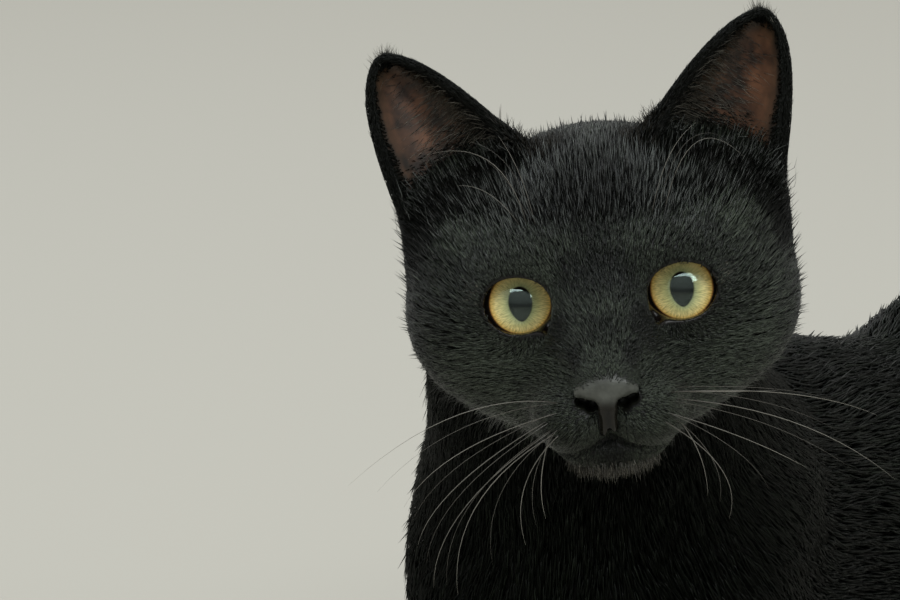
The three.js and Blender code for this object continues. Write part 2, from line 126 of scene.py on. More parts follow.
# %% Forms
def turning(degrees):
    """The matrix that turns about Y, then X, then Z."""
    x, y, z = np.radians(degrees)
    about_x = [[1, 0, 0], [0, np.cos(x), -np.sin(x)], [0, np.sin(x), np.cos(x)]]
    about_y = [[np.cos(y), 0, np.sin(y)], [0, 1, 0], [-np.sin(y), 0, np.cos(y)]]
    about_z = [[np.cos(z), -np.sin(z), 0], [np.sin(z), np.cos(z), 0], [0, 0, 1]]
    return (np.array(about_z) @ about_x @ about_y).astype(np.float32)


def placed(field, place, degrees=(0, 0, 0)):
    """The same form, moved and turned."""
    turn, place = turning(degrees), np.array(place, np.float32)
    return lambda p: field((p - place) @ turn)


def ball(centre, radii):
    """A ball with a radius of its own for each axis."""
    radii = np.array(radii, np.float32)

    def round_form(p):
        reach = np.sqrt(np.square(p / radii).sum(1))
        slope = np.sqrt(np.square(p / radii**2).sum(1))
        return reach * (reach - 1) / np.maximum(slope, 1e-6)

    return placed(round_form, centre)


def limb(start, end, start_radius, end_radius):
    """A rounded rod whose radius changes from one end to the other."""
    start, way = np.array(start, np.float32), np.subtract(end, start).astype(np.float32)

    def rounded(p):
        along = np.clip((p - start) @ way / (way @ way), 0, 1)
        away = p - start - along[:, None] * way
        return np.sqrt(np.square(away).sum(1)) - start_radius - along * (end_radius - start_radius)

    return rounded


def soft_least(a, b, blend):
    """The lesser of two fields, with a fillet where they differ by less than `blend`."""
    overlap = np.maximum(blend - np.abs(a - b), 0)
    return np.minimum(a, b) - overlap * overlap / (4 * blend)


def joined(blend, *fields):
    """Soft union: forms closer than `blend` run into each other."""

    def union(p):
        least = fields[0](p)
        for field in fields[1:]:
            least = soft_least(least, field(p), blend)
        return least

    return union


def chain(points, blend=6):
    """Limbs end to end, through points of (x, y, z, radius)."""
    pairs = zip(points, points[1:])
    return joined(blend, *(limb(a[:3], b[:3], a[3], b[3]) for a, b in pairs))


def mirrored(point, side):
    """The point itself for the left side, its mirror image for the right."""
    return (point[0] * side, *point[1:])


def ramp(value, low, high):
    """0 below low, 1 above high, smooth between."""
    t = np.clip((value - low) / (high - low), 0, 1)
    return t * t * (3 - 2 * t)


# %% [markdown]
# ## The body in its own sizes
# These are the driving sizes of the solids. The place of the whole is read from the frame: the
# packed eyeballs say how far the model was moved to put its origin on the floor.

# %% Driving sizes
WITHERS, LOIN, RUMP = 148, 125, 138  # heights of the back: shoulders, loin and hips
CHEST_HALF_WIDTH, THIGH_HALF_WIDTH = 54, 62
REST = -4  # level of the soft undersides before the floor flattens them
HIPS_PLACE, HIPS_TURN = (29, 220, 0), -13
HEAD_PLACE = (33.5, -89.7, 187)  # midway between the eyes
HEAD_TURN, HEAD_LIFT, HEAD_LEAN = 24.7, 4, 6.1  # degrees
EYE_X, EYE_DEPTH = 20.3, 1.6
# How far apart, in mm, two forms start to run into each other.
SOFT = dict(toes=4, paw=6, muzzle=5, face=9, skull=12, neck=12, thigh=14, pelvis=16, trunk=22)
SOFT.update(shoulder=18, low_limb=12, head=16, tail=8)

HEAD_DEGREES = (-HEAD_LIFT, -HEAD_LEAN, HEAD_TURN)
HEAD_AXES = turning(HEAD_DEGREES)  # its columns point to the cat's left, back and up
HEAD_ORIGIN = np.array(HEAD_PLACE, np.float32)


def to_head(p):
    """Points of the body's frame, in the head's frame."""
    return (p - HEAD_ORIGIN) @ HEAD_AXES


def from_head(p):
    """Points of the head's frame, in the body's frame."""
    return np.asarray(p, np.float32) @ HEAD_AXES.T + HEAD_ORIGIN


def eye_centre(side):
    return from_head((EYE_X * side, EYE_DEPTH, 0))


low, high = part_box("eye_left")
SHIFT = np.array((low + high) / 2, np.float32) / MM - eye_centre(1)
low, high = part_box("eye_right")
missed = np.array((low + high) / 2) / MM - eye_centre(-1) - SHIFT
other_eye = round(float(np.abs(missed).max()), 3)
print("moved by", SHIFT.round(2), "mm; the other eye agrees within", other_eye, "mm")


# %% Trunk and neck
def read_rows(rows, y):
    """Smooth curves through rows of (y, value, value...), read at each y."""
    rows = np.array(rows, np.float32)
    places = np.arange(len(rows))
    before, after = rows[np.maximum(places - 1, 0)], rows[np.minimum(places + 1, len(rows) - 1)]
    slopes = (after - before) / (after - before)[:, :1]
    held = np.clip(y, rows[0, 0], rows[-1, 0])
    n = np.clip(np.searchsorted(rows[:, 0], held), 1, len(rows) - 1)
    a, b = rows[n - 1], rows[n]
    span = (b - a)[:, :1]
    t = (held[:, None] - a[:, :1]) / span
    bend = (1 - t) * slopes[n - 1] - t * slopes[n]
    return (a + (b - a) * t * t * (3 - 2 * t) + span * t * (1 - t) * bend)[:, 1:].T


def barrel(rows, bottom):
    """A trunk along y through rows of (y, middle, top, half width), with its underside at `bottom`."""
    start, end = rows[0][0], rows[-1][0]

    def form(p):
        x, y, z = p.T
        middle, top, half_width = read_rows(rows, y)
        half_height = (top - bottom) / 2
        reach = np.hypot((x - middle) / half_width, (z - bottom - half_height) / half_height)
        side = (reach - 1) * np.minimum(half_width, half_height)
        beyond = np.abs(y - (start + end) / 2) - (end - start) / 2
        return np.where(beyond > 0, np.hypot(np.maximum(side, 0), beyond), np.maximum(side, beyond))

    return form


def near(centre, radius, field, margin=24):
    """A form within `radius` of a centre, worked out only for points near it, which saves time."""
    centre = np.array(centre, np.float32)

    def limited(p):
        away = np.sqrt(np.square(p - centre).sum(1)) - radius
        close = away < margin
        if close.any():
            away[close] = field(p[close])
        return away

    return limited


rump = ball((0, -6, RUMP - 63), (42, 54, 63))
pelvis = joined(SOFT["pelvis"], rump, limb((0, 24, 68), (0, 44, 56), 30, 18))
BACK_ROWS = (
    (-30, 0, WITHERS - 8, CHEST_HALF_WIDTH * 0.8),
    (10, 0, WITHERS, CHEST_HALF_WIDTH * 0.93),
    (55, 0, WITHERS - 5, CHEST_HALF_WIDTH),
    (100, 3, (WITHERS + LOIN) / 2 - 1, CHEST_HALF_WIDTH * 1.04),
    (150, 11, LOIN, CHEST_HALF_WIDTH * 0.96),
    (190, 21, LOIN + 2, CHEST_HALF_WIDTH * 0.85),
)


def at_hips(field):
    """A form of the hips' own frame, at the hips."""
    return placed(field, HIPS_PLACE, (0, 0, HIPS_TURN))


trunk = joined(SOFT["trunk"], barrel(BACK_ROWS, REST), ball((0, -38, 78), (41, 32, 46)), at_hips(pelvis))
neck = chain([(-3, -8, 112, 57), (3, -32, 150, 43.5), (13, -46, 172, 37)], SOFT["neck"])


# %% Legs and paws
def shoulder(side):
    return chain([mirrored(p, side) for p in ((20, 14, 122, 17), (30, -22, 82, 20), (45, 38, 30, 19))])


def forearm(side):
    return chain([mirrored(p, side) for p in ((45, 34, 20, 19), (39, -62, 12.5, 13.5))])


def paw(side, x, y, length, half_width):
    """A paw points to -Y from its heel, with four toes across its front."""
    height = half_width * 0.74
    palm = ball((x * side, y + length * 0.1, height + REST / 2), (half_width, length * 0.48, height))
    radius = half_width * 0.36
    toes = []
    for across in (-0.66, -0.23, 0.23, 0.66):
        forward = y - length * 0.5 + half_width * (0.46 + 0.75 * across**2)
        place = (x * side + across * half_width, forward, radius + REST / 2 + 2.4)
        toes.append(ball(place, (radius, radius * 1.6, radius * 1.16)))
    return near((x * side, y, height), length * 0.6, joined(SOFT["toes"], palm, *toes))


KNEE = THIGH_HALF_WIDTH - 23


def thigh(side):
    upper = chain([mirrored(p, side) for p in ((21, -4, 78, 40), (KNEE, -78, 54, 25))])
    lower = chain([mirrored(p, side) for p in ((KNEE + 3, -72, 42, 22), (KNEE + 9, 8, 22, 15))])
    return joined(SOFT["thigh"], upper, lower)


def hind_foot(side):
    return chain([mirrored(p, side) for p in ((55, 12, 11, 14), (59, -80, 9.5, 12.5))])


thighs = [at_hips(thigh(side)) for side in BOTH_SIDES]
hind_feet = [at_hips(hind_foot(side)) for side in BOTH_SIDES]
hind_paws = [at_hips(paw(side, 60, -96, 46, 14.5)) for side in BOTH_SIDES]
forearms = [forearm(side) for side in BOTH_SIDES]
forepaws = [paw(side, 39, -88, 48, 15.5) for side in BOTH_SIDES]
mass = joined(SOFT["shoulder"], trunk, neck, *thighs, *(shoulder(side) for side in BOTH_SIDES))
low_limbs = joined(SOFT["low_limb"], *forearms, *hind_feet)
paws = joined(SOFT["paw"], *forepaws, *hind_paws)
print("back at", WITHERS, LOIN, RUMP, "mm; paws:", len(forepaws + hind_paws))

# %% [markdown]
# The tail leaves the rump, comes down to the floor and lies along the right side. Its middle line
# is a smooth curve through eight points, of the kind that keeps an even speed where the points are
# unevenly spaced.

# %% Tail
TAIL_ROUTE = np.array(
    [
        (35, 258, 62),
        (35, 286, 36),
        (18, 309, 17),
        (-15, 317, 10.5),
        (-47, 301, 9.5),
        (-69, 268, 9),
        (-79, 226, 8.2),
        (-79, 182, 7.4),
    ],
    float,
)


def along_route(route, share):
    """A point of the even-speed curve through the route, at a share of its spans."""
    ends = np.vstack([2 * route[0] - route[1], route, 2 * route[-1] - route[-2]])
    n = min(int(share * (len(route) - 1)), len(route) - 2)
    t = share * (len(route) - 1) - n
    p = ends[n : n + 4]
    d0, d1, d2 = np.sqrt(np.linalg.norm(np.diff(p, axis=0), axis=1))
    leave = d1 * ((p[1] - p[0]) / d0 - (p[2] - p[0]) / (d0 + d1) + (p[2] - p[1]) / d1)
    arrive = d1 * ((p[2] - p[1]) / d1 - (p[3] - p[1]) / (d1 + d2) + (p[3] - p[2]) / d2)
    square, cube = 3 * (p[2] - p[1]) - 2 * leave - arrive, 2 * (p[1] - p[2]) + leave + arrive
    return p[1] + t * (leave + t * (square + t * cube))


TAIL_STEPS = 14
TAIL_RADIUS, TAIL_TAPER, TAIL_END_TAPER = 13.5, 1.2, 4.2
tail_line = [along_route(TAIL_ROUTE, i / TAIL_STEPS) for i in range(TAIL_STEPS + 1)]
tail_radii = [
    TAIL_RADIUS - TAIL_TAPER * (i / TAIL_STEPS) - TAIL_END_TAPER * (i / TAIL_STEPS) ** 3
    for i in range(TAIL_STEPS + 1)
]
tail_joints = [(*place, radius) for place, radius in zip(tail_line, tail_radii)]
tail = near((-15, 250, 30), 115, chain(tail_joints))
tail_length = np.linalg.norm(np.diff(np.array(tail_line), axis=0), axis=1).sum()
print("tail:", round(float(tail_length)), "mm long")

# %% [markdown]
# ## The head
# A cat's head is a round skull with a short muzzle on its front. The lids are a shell over the
# eyeball with an almond opening, whose inner corner points down to the nose. The nose leather is a
# bare wedge with two comma-shaped nostrils, and below it a groove runs to the mouth. All of it is
# in the head's own frame: x to the cat's left, y back, z up.

# %% Skull and muzzle
GLOBE, LID_SHELL, LID_INSIDE = 10.2, 11.7, 10.3  # radii of the eyeball and of the lids round it


def skull_and_muzzle():
    """The outline of the head, without its lids, nose leather and ears."""
    braincase, face = ball((0, 36, 3), (42, 40, 38)), ball((0, 11, -2), (41, 22.5, 25))
    jaw, forehead = ball((0, 11, -22), (30, 30, 18)), limb((0, -9.5, -5), (0, 20, 15), 10.5, 19)
    nose, chin = limb((0, -12, -5), (0, -24, -15.5), 9, 7.6), ball((0, -15.8, -34.9), (13.2, 10.2, 6.2))
    skull, muzzle = [braincase, face, jaw, forehead], [nose, chin]
    for side in BOTH_SIDES:
        ruff_width = 23.2 if side > 0 else 24
        cheek = ball((28 * side, 22, -5), (ruff_width, 26, 25))
        ear_foot = ball((31.5 * side, 27, 17), (16, 16, 16))
        brow = ball((17.5 * side, -2, 10.5), (10, 8.5, 6.5))
        whisker_pad = ball((8.6 * side, -17.5, -27), (10.4, 13.4, 9))
        skull += [cheek, ear_foot, brow]
        muzzle.append(whisker_pad)
    return joined(SOFT["face"], joined(SOFT["skull"], *skull), joined(SOFT["muzzle"], *muzzle))


def eye_opening(side):
    """The almond that is cut out of the lids, as a form that runs in towards the eyeball."""
    x = EYE_X
    round_part = ball((x, -8, 0.85), (8.75, 14, 7.35))
    inner_corner = limb((x - 5.2, -13, -3.4), (x - 8.9, -8, -5.8), 2.8, 0.8)
    almond = joined(2.5, round_part, inner_corner)
    return lambda p: almond(p * np.array((side, 1, 1), np.float32))


def on_both_sides(start, end, start_radius, end_radius):
    """A limb and its mirror image."""
    ends = [(mirrored(start, side), mirrored(end, side)) for side in BOTH_SIDES]
    return [limb(*pair, start_radius, end_radius) for pair in ends]


# %% Nose and mouth
leather = joined(
    2.5,
    limb((-4.1, -27.6, -17.5), (4.1, -27.6, -17.5), 2.6, 2.6),  # upper edge
    *on_both_sides((4, -28.2, -18.2), (6, -26.9, -19.2), 2.4, 1.9),  # wings over the nostrils
    limb((0, -28.6, -17.5), (0, -29.2, -23.5), 3.2, 2.2),  # wall between the nostrils
    limb((0, -29.4, -23.5), (0, -28.6, -27.5), 1.5, 1.1),  # column down to the lip
    *on_both_sides((0.4, -28.6, -27), (1.5, -27.6, -29.6), 0.8, 0.5),  # and its two feet
)
nostrils = joined(
    1,
    *on_both_sides((4, -35, -23.1), (3.9, -24, -22.4), 1.75, 1.5),  # round inner end
    *on_both_sides((6.4, -34, -21.8), (6.4, -24, -21.4), 1.4, 1.2),  # slit to the side
)
head_outline = skull_and_muzzle()


def head_coat(p):
    """Depth of the coat on the head, from the whiskers' pads to the nape."""
    return 1 + 2.2 * ramp(p[:, 1], -20, 24)


def on_face(x, z):
    """The place on the skin straight behind a place before the face."""
    depth = np.arange(-40, 10, 0.1)
    line = np.stack([np.full_like(depth, x), depth, np.full_like(depth, z)], 1)
    return x, depth[np.argmax(head_outline(line) + head_coat(line) < 0)], z


mouth_line = [on_face(x, z) for x, z in ((0, -31), (3, -32.4), (7, -34.1), (10.5, -35.2), (13, -35.2))]
print("depth of the mouth line:", [round(float(place[1]), 1) for place in mouth_line])
lips = [on_both_sides(a, b, 1, 1) for a, b in zip(mouth_line, mouth_line[1:])]
mouth = joined(0.8, *(line for pair in lips for line in pair))
grooves = joined(
    0.8,
    limb((0, -32, -21.5), (0, -30.4, -28), 0.3, 0.4),
    limb((0, -30.4, -28), mouth_line[0], 0.4, 1),
    mouth,
)
openings = [eye_opening(side) for side in BOTH_SIDES]
lid_shells = joined(1, *(ball((EYE_X * side, EYE_DEPTH, 0), (LID_SHELL,) * 3) for side in BOTH_SIDES))
globes = joined(1, *(ball((EYE_X * side, EYE_DEPTH, 0), (LID_INSIDE,) * 3) for side in BOTH_SIDES))
any_opening = joined(1, *openings)


def head_form(p):
    """The head's skin, in the head's own frame."""
    flesh = head_outline(p) + head_coat(p)
    face = p[:, 1] < 12
    q = p[face]
    front = soft_least(flesh[face], lid_shells(q), 4)
    front = soft_least(front, leather(q), 1.4)
    front = -soft_least(-front, grooves(q), 0.8)
    front = -soft_least(-front, nostrils(q), 0.5)
    front = -soft_least(-front, any_opening(q), 0.4)
    flesh[face] = np.maximum(front, -globes(q))
    return flesh


# %% [markdown]
# An ear is a thin cupped sheet. Two curves are its edges, the surface between them sags into a cup,
# and the field is the distance from that sheet less half its thickness. A search tree finds the
# nearest place on the sheet.

# %% Ears
EAR_INNER = np.array(((11, 23, 31), (26, 21, 50), (39, 26, 63.5), (49.3, 29, 63.3)), float)
EAR_OUTER = np.array(((45, 24, 8), (49.8, 22, 30), (58.5, 27, 54), (49.3, 29, 63.3)), float)
EAR_SWING, EAR_TILT, EAR_TIP, EAR_CUP = -0.03, 0.025, 0.97, 13
EAR_CUP_WAY = np.array((-0.34, 0.9, 0.1))
EAR_THICK, EAR_BASE_THICK = 0.65, 0.4  # half of its wall, and what the base adds to that
EAR_MESH = 24


def bezier(points, t):
    """The curve from the first point to the last, led by the two between them, at each share t."""
    t = t[:, None]
    s = 1 - t
    return points[0] * s**3 + 3 * points[1] * t * s**2 + 3 * points[2] * t * t * s + points[3] * t**3


def ear_sheet(side, across, up):
    """Points of an ear's middle sheet: across runs from the inner to the outer edge, up to the tip."""
    inner, outer = bezier(EAR_INNER, up * EAR_TIP), bezier(EAR_OUTER, up * EAR_TIP)
    cup = EAR_CUP * 4 * across * (1 - across) * (1 - 0.75 * up * up)
    place = inner + (outer - inner) * across[:, None] + EAR_CUP_WAY * cup[:, None]
    x, z = place[:, 0].copy(), place[:, 2].copy()
    place[:, 0] = (x + side * EAR_SWING * z) * side
    place[:, 2] = z + side * EAR_TILT * x
    return place


class Ear:
    """One ear: its field, and what part of the sheet a point is nearest to."""

    def __init__(self, side):
        self.side = side
        steps = np.linspace(0, 1, EAR_MESH + 1)
        self.up, self.across = (a.ravel() for a in np.meshgrid(steps, steps, indexing="ij"))
        points = ear_sheet(side, self.across, self.up)
        row = EAR_MESH + 1
        first = (np.arange(EAR_MESH)[:, None] * row + np.arange(EAR_MESH)).ravel()
        quads = np.stack([first, first + 1, first + row + 1, first + row], 1)
        if side < 0:
            quads = quads[:, ::-1]
        self.tree = BVHTree.FromPolygons(points.tolist(), quads.tolist())
        self.middle = np.stack([self.across[quads].mean(1), self.up[quads].mean(1)], 1)
        self.centre = points.mean(0)
        self.reach = np.linalg.norm(points - self.centre, axis=1).max()

    def look_up(self, p):
        """For each point: distance, share across, share up, and whether it is in front of the sheet."""
        found = np.empty((len(p), 4), np.float32)
        for i, point in enumerate(p.tolist()):
            place, normal, n, distance = self.tree.find_nearest(point)
            ahead = (Vector(point) - place).dot(normal)
            found[i] = distance, self.middle[n, 0], self.middle[n, 1], ahead
        return found.T

    def field(self, p, extra=0):
        def exact(q):
            distance, across, up, _ = self.look_up(q)
            rim = np.minimum(1, 4 * np.minimum(across, 1 - across))
            return distance - (EAR_THICK + EAR_BASE_THICK * (1 - up) * rim) - extra

        return near(self.centre, self.reach, exact, margin=5)(p)


ears = [Ear(side) for side in BOTH_SIDES]
print("ears reach", [round(float(ear.reach), 1) for ear in ears], "mm from their middle")

# %% [markdown]
# All the forms are now joined in one field. The solids reach to the tips of the hair, so the skin
# lies deeper than they do by the depth of the coat, which is thickest on the trunk and thinnest on
# the paws.

# %% The whole skin as one field
BODY_COAT, LIMB_COAT, PAW_COAT, TAIL_COAT = 5.5, 3, 1.5, 4.5
HEAD_MIDDLE, HEAD_REACH = (0, 25, 8), 110  # in the head's frame
EAR_BLEND = 5


def skin_field(p, ear_extra=0):
    """Distance from the skin of the whole cat, before it was moved into the frame."""
    body, limbs, feet = mass(p), low_limbs(p), paws(p)
    flesh = soft_least(body, limbs, SOFT["low_limb"])
    flesh = soft_least(flesh, feet, SOFT["paw"])
    coat = BODY_COAT + (LIMB_COAT - BODY_COAT) * ramp(body - limbs, -6, 10)
    coat += (PAW_COAT - coat) * ramp(np.minimum(body, limbs) - feet, -4, 6)
    flesh += coat
    head_points = to_head(p)
    close = np.square(head_points - HEAD_MIDDLE).sum(1) < HEAD_REACH**2
    q = head_points[close]
    flesh[close] = soft_least(flesh[close], head_form(q), SOFT["head"])
    for ear in ears:
        flesh[close] = soft_least(flesh[close], ear.field(q, ear_extra), EAR_BLEND)
    return soft_least(flesh, tail(p) + TAIL_COAT, SOFT["tail"])


# %% [markdown]
# ## Wrapping the field in a mesh
# The field is read on a grid of planes, close together at the head and wider apart at the body.
# Blocks of the grid that are far from the surface are skipped. Each grid cell that the surface
# passes through gets one vertex, and each grid edge that crosses the surface gets one four-sided
# face. At last every vertex is moved onto the surface along the slope.

# %% Grid and wrapping
BLOCK = 8  # planes to the side of a block
BLOCKS_AT_ONCE = 2500
FAR = np.float32(1e3)  # stands for any large distance


def planes(low, fine_low, fine_high, high, fine, coarse, growth=1.15):
    """Places of grid planes along one axis: `fine` apart in the middle, growing to `coarse` beyond."""
    middle = np.arange(fine_low, fine_high + fine / 2, fine)

    def outward(start, end):
        steps, at = fine, [start]
        while at[-1] < end:
            steps = min(steps * growth, coarse)
            at.append(at[-1] + steps)
        return np.array(at[1:])

    axis = np.concatenate([-outward(-middle[0], -low)[::-1], middle, outward(middle[-1], high)])
    spare = -(len(axis) % BLOCK) % BLOCK
    return np.concatenate([axis, axis[-1] + coarse * np.arange(1, spare + 1)]).astype(np.float32)


def read_grid(field, axes):
    """The field at every point of the grid; far from the surface only its sign is right."""
    middles = [a.reshape(-1, BLOCK).mean(1) for a in axes]
    halves = [np.ptp(a.reshape(-1, BLOCK), axis=1) / 2 + 2 for a in axes]
    centres = np.stack(np.meshgrid(*middles, indexing="ij"), -1).reshape(-1, 3)
    reach = np.linalg.norm(np.stack(np.meshgrid(*halves, indexing="ij"), -1).reshape(-1, 3), axis=1)
    rough = field(centres)
    counts = [len(m) for m in middles]
    values = np.where(rough > 0, FAR, -FAR).reshape(counts)
    values = values.repeat(BLOCK, 0).repeat(BLOCK, 1).repeat(BLOCK, 2)
    chosen = np.flatnonzero(np.abs(rough) < reach * 1.25 + 4)
    for part in np.array_split(chosen, len(chosen) // BLOCKS_AT_ONCE + 1):
        block = np.stack(np.unravel_index(part, counts), 1)
        indices = [block[:, n, None] * BLOCK + np.arange(BLOCK) for n in range(3)]
        x, y, z = (axes[n][indices[n]] for n in range(3))
        shape = (len(part), BLOCK, BLOCK, BLOCK)
        spread = (x[:, :, None, None], y[:, None, :, None], z[:, None, None, :])
        places = [np.broadcast_to(a, shape).ravel() for a in spread]
        found = field(np.stack(places, 1)).reshape(shape)
        i, j, k = indices
        values[i[:, :, None, None], j[:, None, :, None], k[:, None, None, :]] = found
    return values


# %% A surface through the grid
def wrap(values, axes):
    """Vertices and four-sided faces of the surface where the grid's values change sign."""
    inside = values < 0
    shape = values.shape
    crossings = []
    for axis in range(3):
        near_end = np.take(inside, range(shape[axis] - 1), axis)
        far_end = np.take(inside, range(1, shape[axis]), axis)
        start = np.stack(np.nonzero(near_end != far_end), 1)
        end = start.copy()
        end[:, axis] += 1
        a, b = values[tuple(start.T)], values[tuple(end.T)]
        place = np.stack([axes[n][start[:, n]] for n in range(3)], 1)
        share = a / (a - b)
        place[:, axis] += share * (axes[axis][end[:, axis]] - place[:, axis])
        u, v = (axis + 1) % 3, (axis + 2) % 3
        cells = np.repeat(start[:, None, :], 4, 1)
        cells[:, 1, u] -= 1
        cells[:, 2, (u, v)] -= 1
        cells[:, 3, v] -= 1
        ids = np.ravel_multi_index(tuple(np.moveaxis(cells, 2, 0)), shape)
        ids[b < 0] = ids[b < 0][:, ::-1]
        crossings.append((ids, place))
    ids = np.concatenate([c[0] for c in crossings])
    places = np.concatenate([c[1] for c in crossings])
    _, faces = np.unique(ids, return_inverse=True)
    faces = faces.reshape(-1, 4)
    number = np.bincount(faces.ravel())
    sums = [np.bincount(faces.ravel(), np.repeat(places[:, n], 4)) for n in range(3)]
    points = np.stack([total / number for total in sums], 1)
    return points.astype(np.float32), faces


def slope_of(field, p, reach=0.25):
    """The field and its slope at each point."""
    ways = np.eye(3, dtype=np.float32) * reach
    return field(p), np.stack([(field(p + w) - field(p - w)) / (2 * reach) for w in ways], 1)


def settle(field, p, most, rounds=2, reach=0.25):
    """Moves points onto the surface along its slope, at most `most` mm a round."""
    for _ in range(rounds):
        value, slope = slope_of(field, p, reach)
        step = -value / np.maximum(np.square(slope).sum(1), 0.3)
        length = np.abs(step) * np.linalg.norm(slope, axis=1)
        p = p + slope * (step * np.minimum(1, most / np.maximum(length, 1e-6)))[:, None]
    return p


# %% [markdown]
# ## One skin
# The grid is in the head's own frame, so that both halves of the face get the same mesh. The ears
# are wrapped a little too thick, because a wall thinner than a cell would tear, and settle to their
# real thickness afterwards. The front of the face is then divided once more for the lids, nose and
# lips.

# %% Wrap the skin
HEAD_CELL, BODY_CELL = 1.15, 4
EAR_EXTRA = 0.4  # thickness that is given to the ears' walls while they are wrapped


def in_head_frame(field):
    """The same field, for points of the head's frame."""
    return lambda p: field(from_head(p))


axes = [
    planes(-215, -60, 60, 215, HEAD_CELL, BODY_CELL),
    planes(-75, -36, 38, 470, HEAD_CELL, BODY_CELL),
    planes(-235, -46, 66, 75, HEAD_CELL, BODY_CELL),
]
thick_eared = in_head_frame(lambda p: skin_field(p, ear_extra=EAR_EXTRA))
points, quads = wrap(read_grid(thick_eared, axes), axes)
points = settle(in_head_frame(skin_field), points, 0.4)
print("wrapped", len(quads), "faces")


# %% Divide the face
def divide_face(points, quads):
    """Divides each quad at the front of the face in four, and closes the ring round them."""
    rough = bmesh.new()
    corners = [rough.verts.new(p) for p in points.tolist()]
    x, y, z = points[quads].mean(1).T
    fine = (y < 2) & (np.abs(x) < 33) & (z > -43) & (z < 13)  # lids, nose, lips and chin
    for quad in quads.tolist():
        rough.faces.new([corners[n] for n in quad])
    rough.faces.ensure_lookup_table()
    edges = {edge for n in np.flatnonzero(fine).tolist() for edge in rough.faces[n].edges}
    bmesh.ops.subdivide_edges(rough, edges=list(edges), cuts=1, use_grid_fill=True)
    bmesh.ops.triangulate(rough, faces=[f for f in rough.faces if len(f.verts) > 4])
    mesh = bpy.data.meshes.new("skin")
    rough.to_mesh(mesh)
    rough.free()
    return mesh


def read_points(mesh):
    """A mesh's vertices as an array."""
    flat = np.empty(len(mesh.vertices) * 3, np.float32)
    mesh.vertices.foreach_get("co", flat)
    return flat.reshape(-1, 3)


skin_mesh = divide_face(points, quads)
head_points = read_points(skin_mesh)
hx, hy, hz = head_points.T  # mm to the cat's left, back and up from between the eyes
at_face = (hy < 4) & (np.abs(hx) < 35) & (np.abs(hz + 15) < 30)
head_points[at_face] = settle(in_head_frame(skin_field), head_points[at_face], 0.3, 3, 0.12)
skin_points = from_head(head_points)
UNDERSIDE = 1  # level of the skin where the cat presses on the floor
skin_points[:, 2] = np.maximum(skin_points[:, 2], UNDERSIDE)
skin_mesh.vertices.foreach_set("co", ((skin_points + SHIFT) * MM).ravel())
skin_mesh.polygons.foreach_set("use_smooth", np.ones(len(skin_mesh.polygons), bool))
skin_mesh.update()
skin = bpy.data.objects.new("skin", skin_mesh)
bpy.context.scene.collection.objects.link(skin)
skin_mesh.calc_loop_triangles()
print("skin:", len(skin_mesh.loop_triangles), "triangles")

# %% [markdown]
# The skin shows where there is no coat: on the nose, the rims of the lids, the lips and inside the
# ears. Those places are known from the same forms that shaped them, so each vertex gets a share for
# each kind of bare skin.

# %% Kinds of bare skin
def in_ears(p):
    """How far points of the head's frame are inside an ear's cup, and their shares across and up it."""
    found = np.zeros((3, len(p)), np.float32)
    for ear in ears:
        close = np.flatnonzero(ear.field(p) < 1.2)
        distance, across, up, ahead = ear.look_up(p[close])
        rim = ramp(across, 0.02, 0.1) * ramp(1 - across, 0.02, 0.1) * ramp(1 - up, 0.01, 0.06)
        found[:, close] = ramp(ahead, 0.1, 0.5) * rim, across, up
    return found


def store(mesh, name, values):
    """Keeps one number for each vertex, which a material reads by its name."""
    mesh.attributes.new(name, "FLOAT", "POINT").data.foreach_set("value", np.asarray(values, np.float32))


def from_form(field):
    """A field's value at every vertex of the skin; far from the face it is just large."""
    values = np.full(len(head_points), 99, np.float32)
    values[at_face] = field(head_points[at_face])
    return values


to_lid_edge, to_leather, to_nostril, to_mouth = map(from_form, (any_opening, leather, nostrils, mouth))
aside = np.abs(hx)
nose_top = ramp(hz + 0.4 * np.maximum(aside - 3, 0), -17.4, -13.4)  # short hair from here up
leather_share = ramp(-to_leather, -0.7, -0.1) * (1 - nose_top)
column_share = leather_share * ramp(-hz, 19.5, 23)
column_line = leather_share * ramp(-hz, 22, 25) * ramp(-aside, -0.9, -0.3)
hole_share = ramp(-to_nostril, -0.35, 0)
wet_share = ramp(-to_lid_edge, -0.6, -0.25)
beside_nostril = ramp(-to_nostril, -0.9, -0.4) * (1 - leather_share)
lip_share = np.max([ramp(-to_mouth, -0.6, 0), beside_nostril, 0.85 * column_line], axis=0)
ear_share, ear_across, ear_up = in_ears(head_points)
ear_pink = ear_share * ramp(ear_across, 0.25, 0.6) * ramp(-ear_across, -0.97, -0.8)
ear_pink *= ramp(ear_up, 0.12, 0.4) * ramp(-ear_up, -0.93, -0.65)
bare_kinds = dict(ear=ear_share, ear_pink=ear_pink, leather=leather_share, column=column_share)
bare_kinds.update(lip=lip_share, wet=wet_share, hole=hole_share)
for name, values in bare_kinds.items():
    store(skin_mesh, name, values)
print("bare skin, in vertices:", {name: int(values.sum()) for name, values in bare_kinds.items()})

# %% [markdown]
# ## Eyes
# A cat's eye is a ball of about 21 mm with a large clear window, the cornea, over a gold iris. The
# iris is a ring around the pupil, which in soft daylight is an upright oval with a pointed lower
# end. The eyeball is one closed mesh made of rings: the back of the ball, the iris and a shallow
# black cup for the pupil. The cornea is a second clear body over it, so that light is mirrored on
# its front and the iris keeps its depth. Both eyes look at one point a metre ahead.

# %% Eyes
EYE_SPOKES = 96
LIMBUS = 8.15  # radius of the cornea's edge
CORNEA_FRONT = 10.7  # from the eyeball's centre to the middle of the cornea
PUPIL_HALF_WIDTH, PUPIL_TOP, PUPIL_BOTTOM = 2.85, 3.9, 4.7
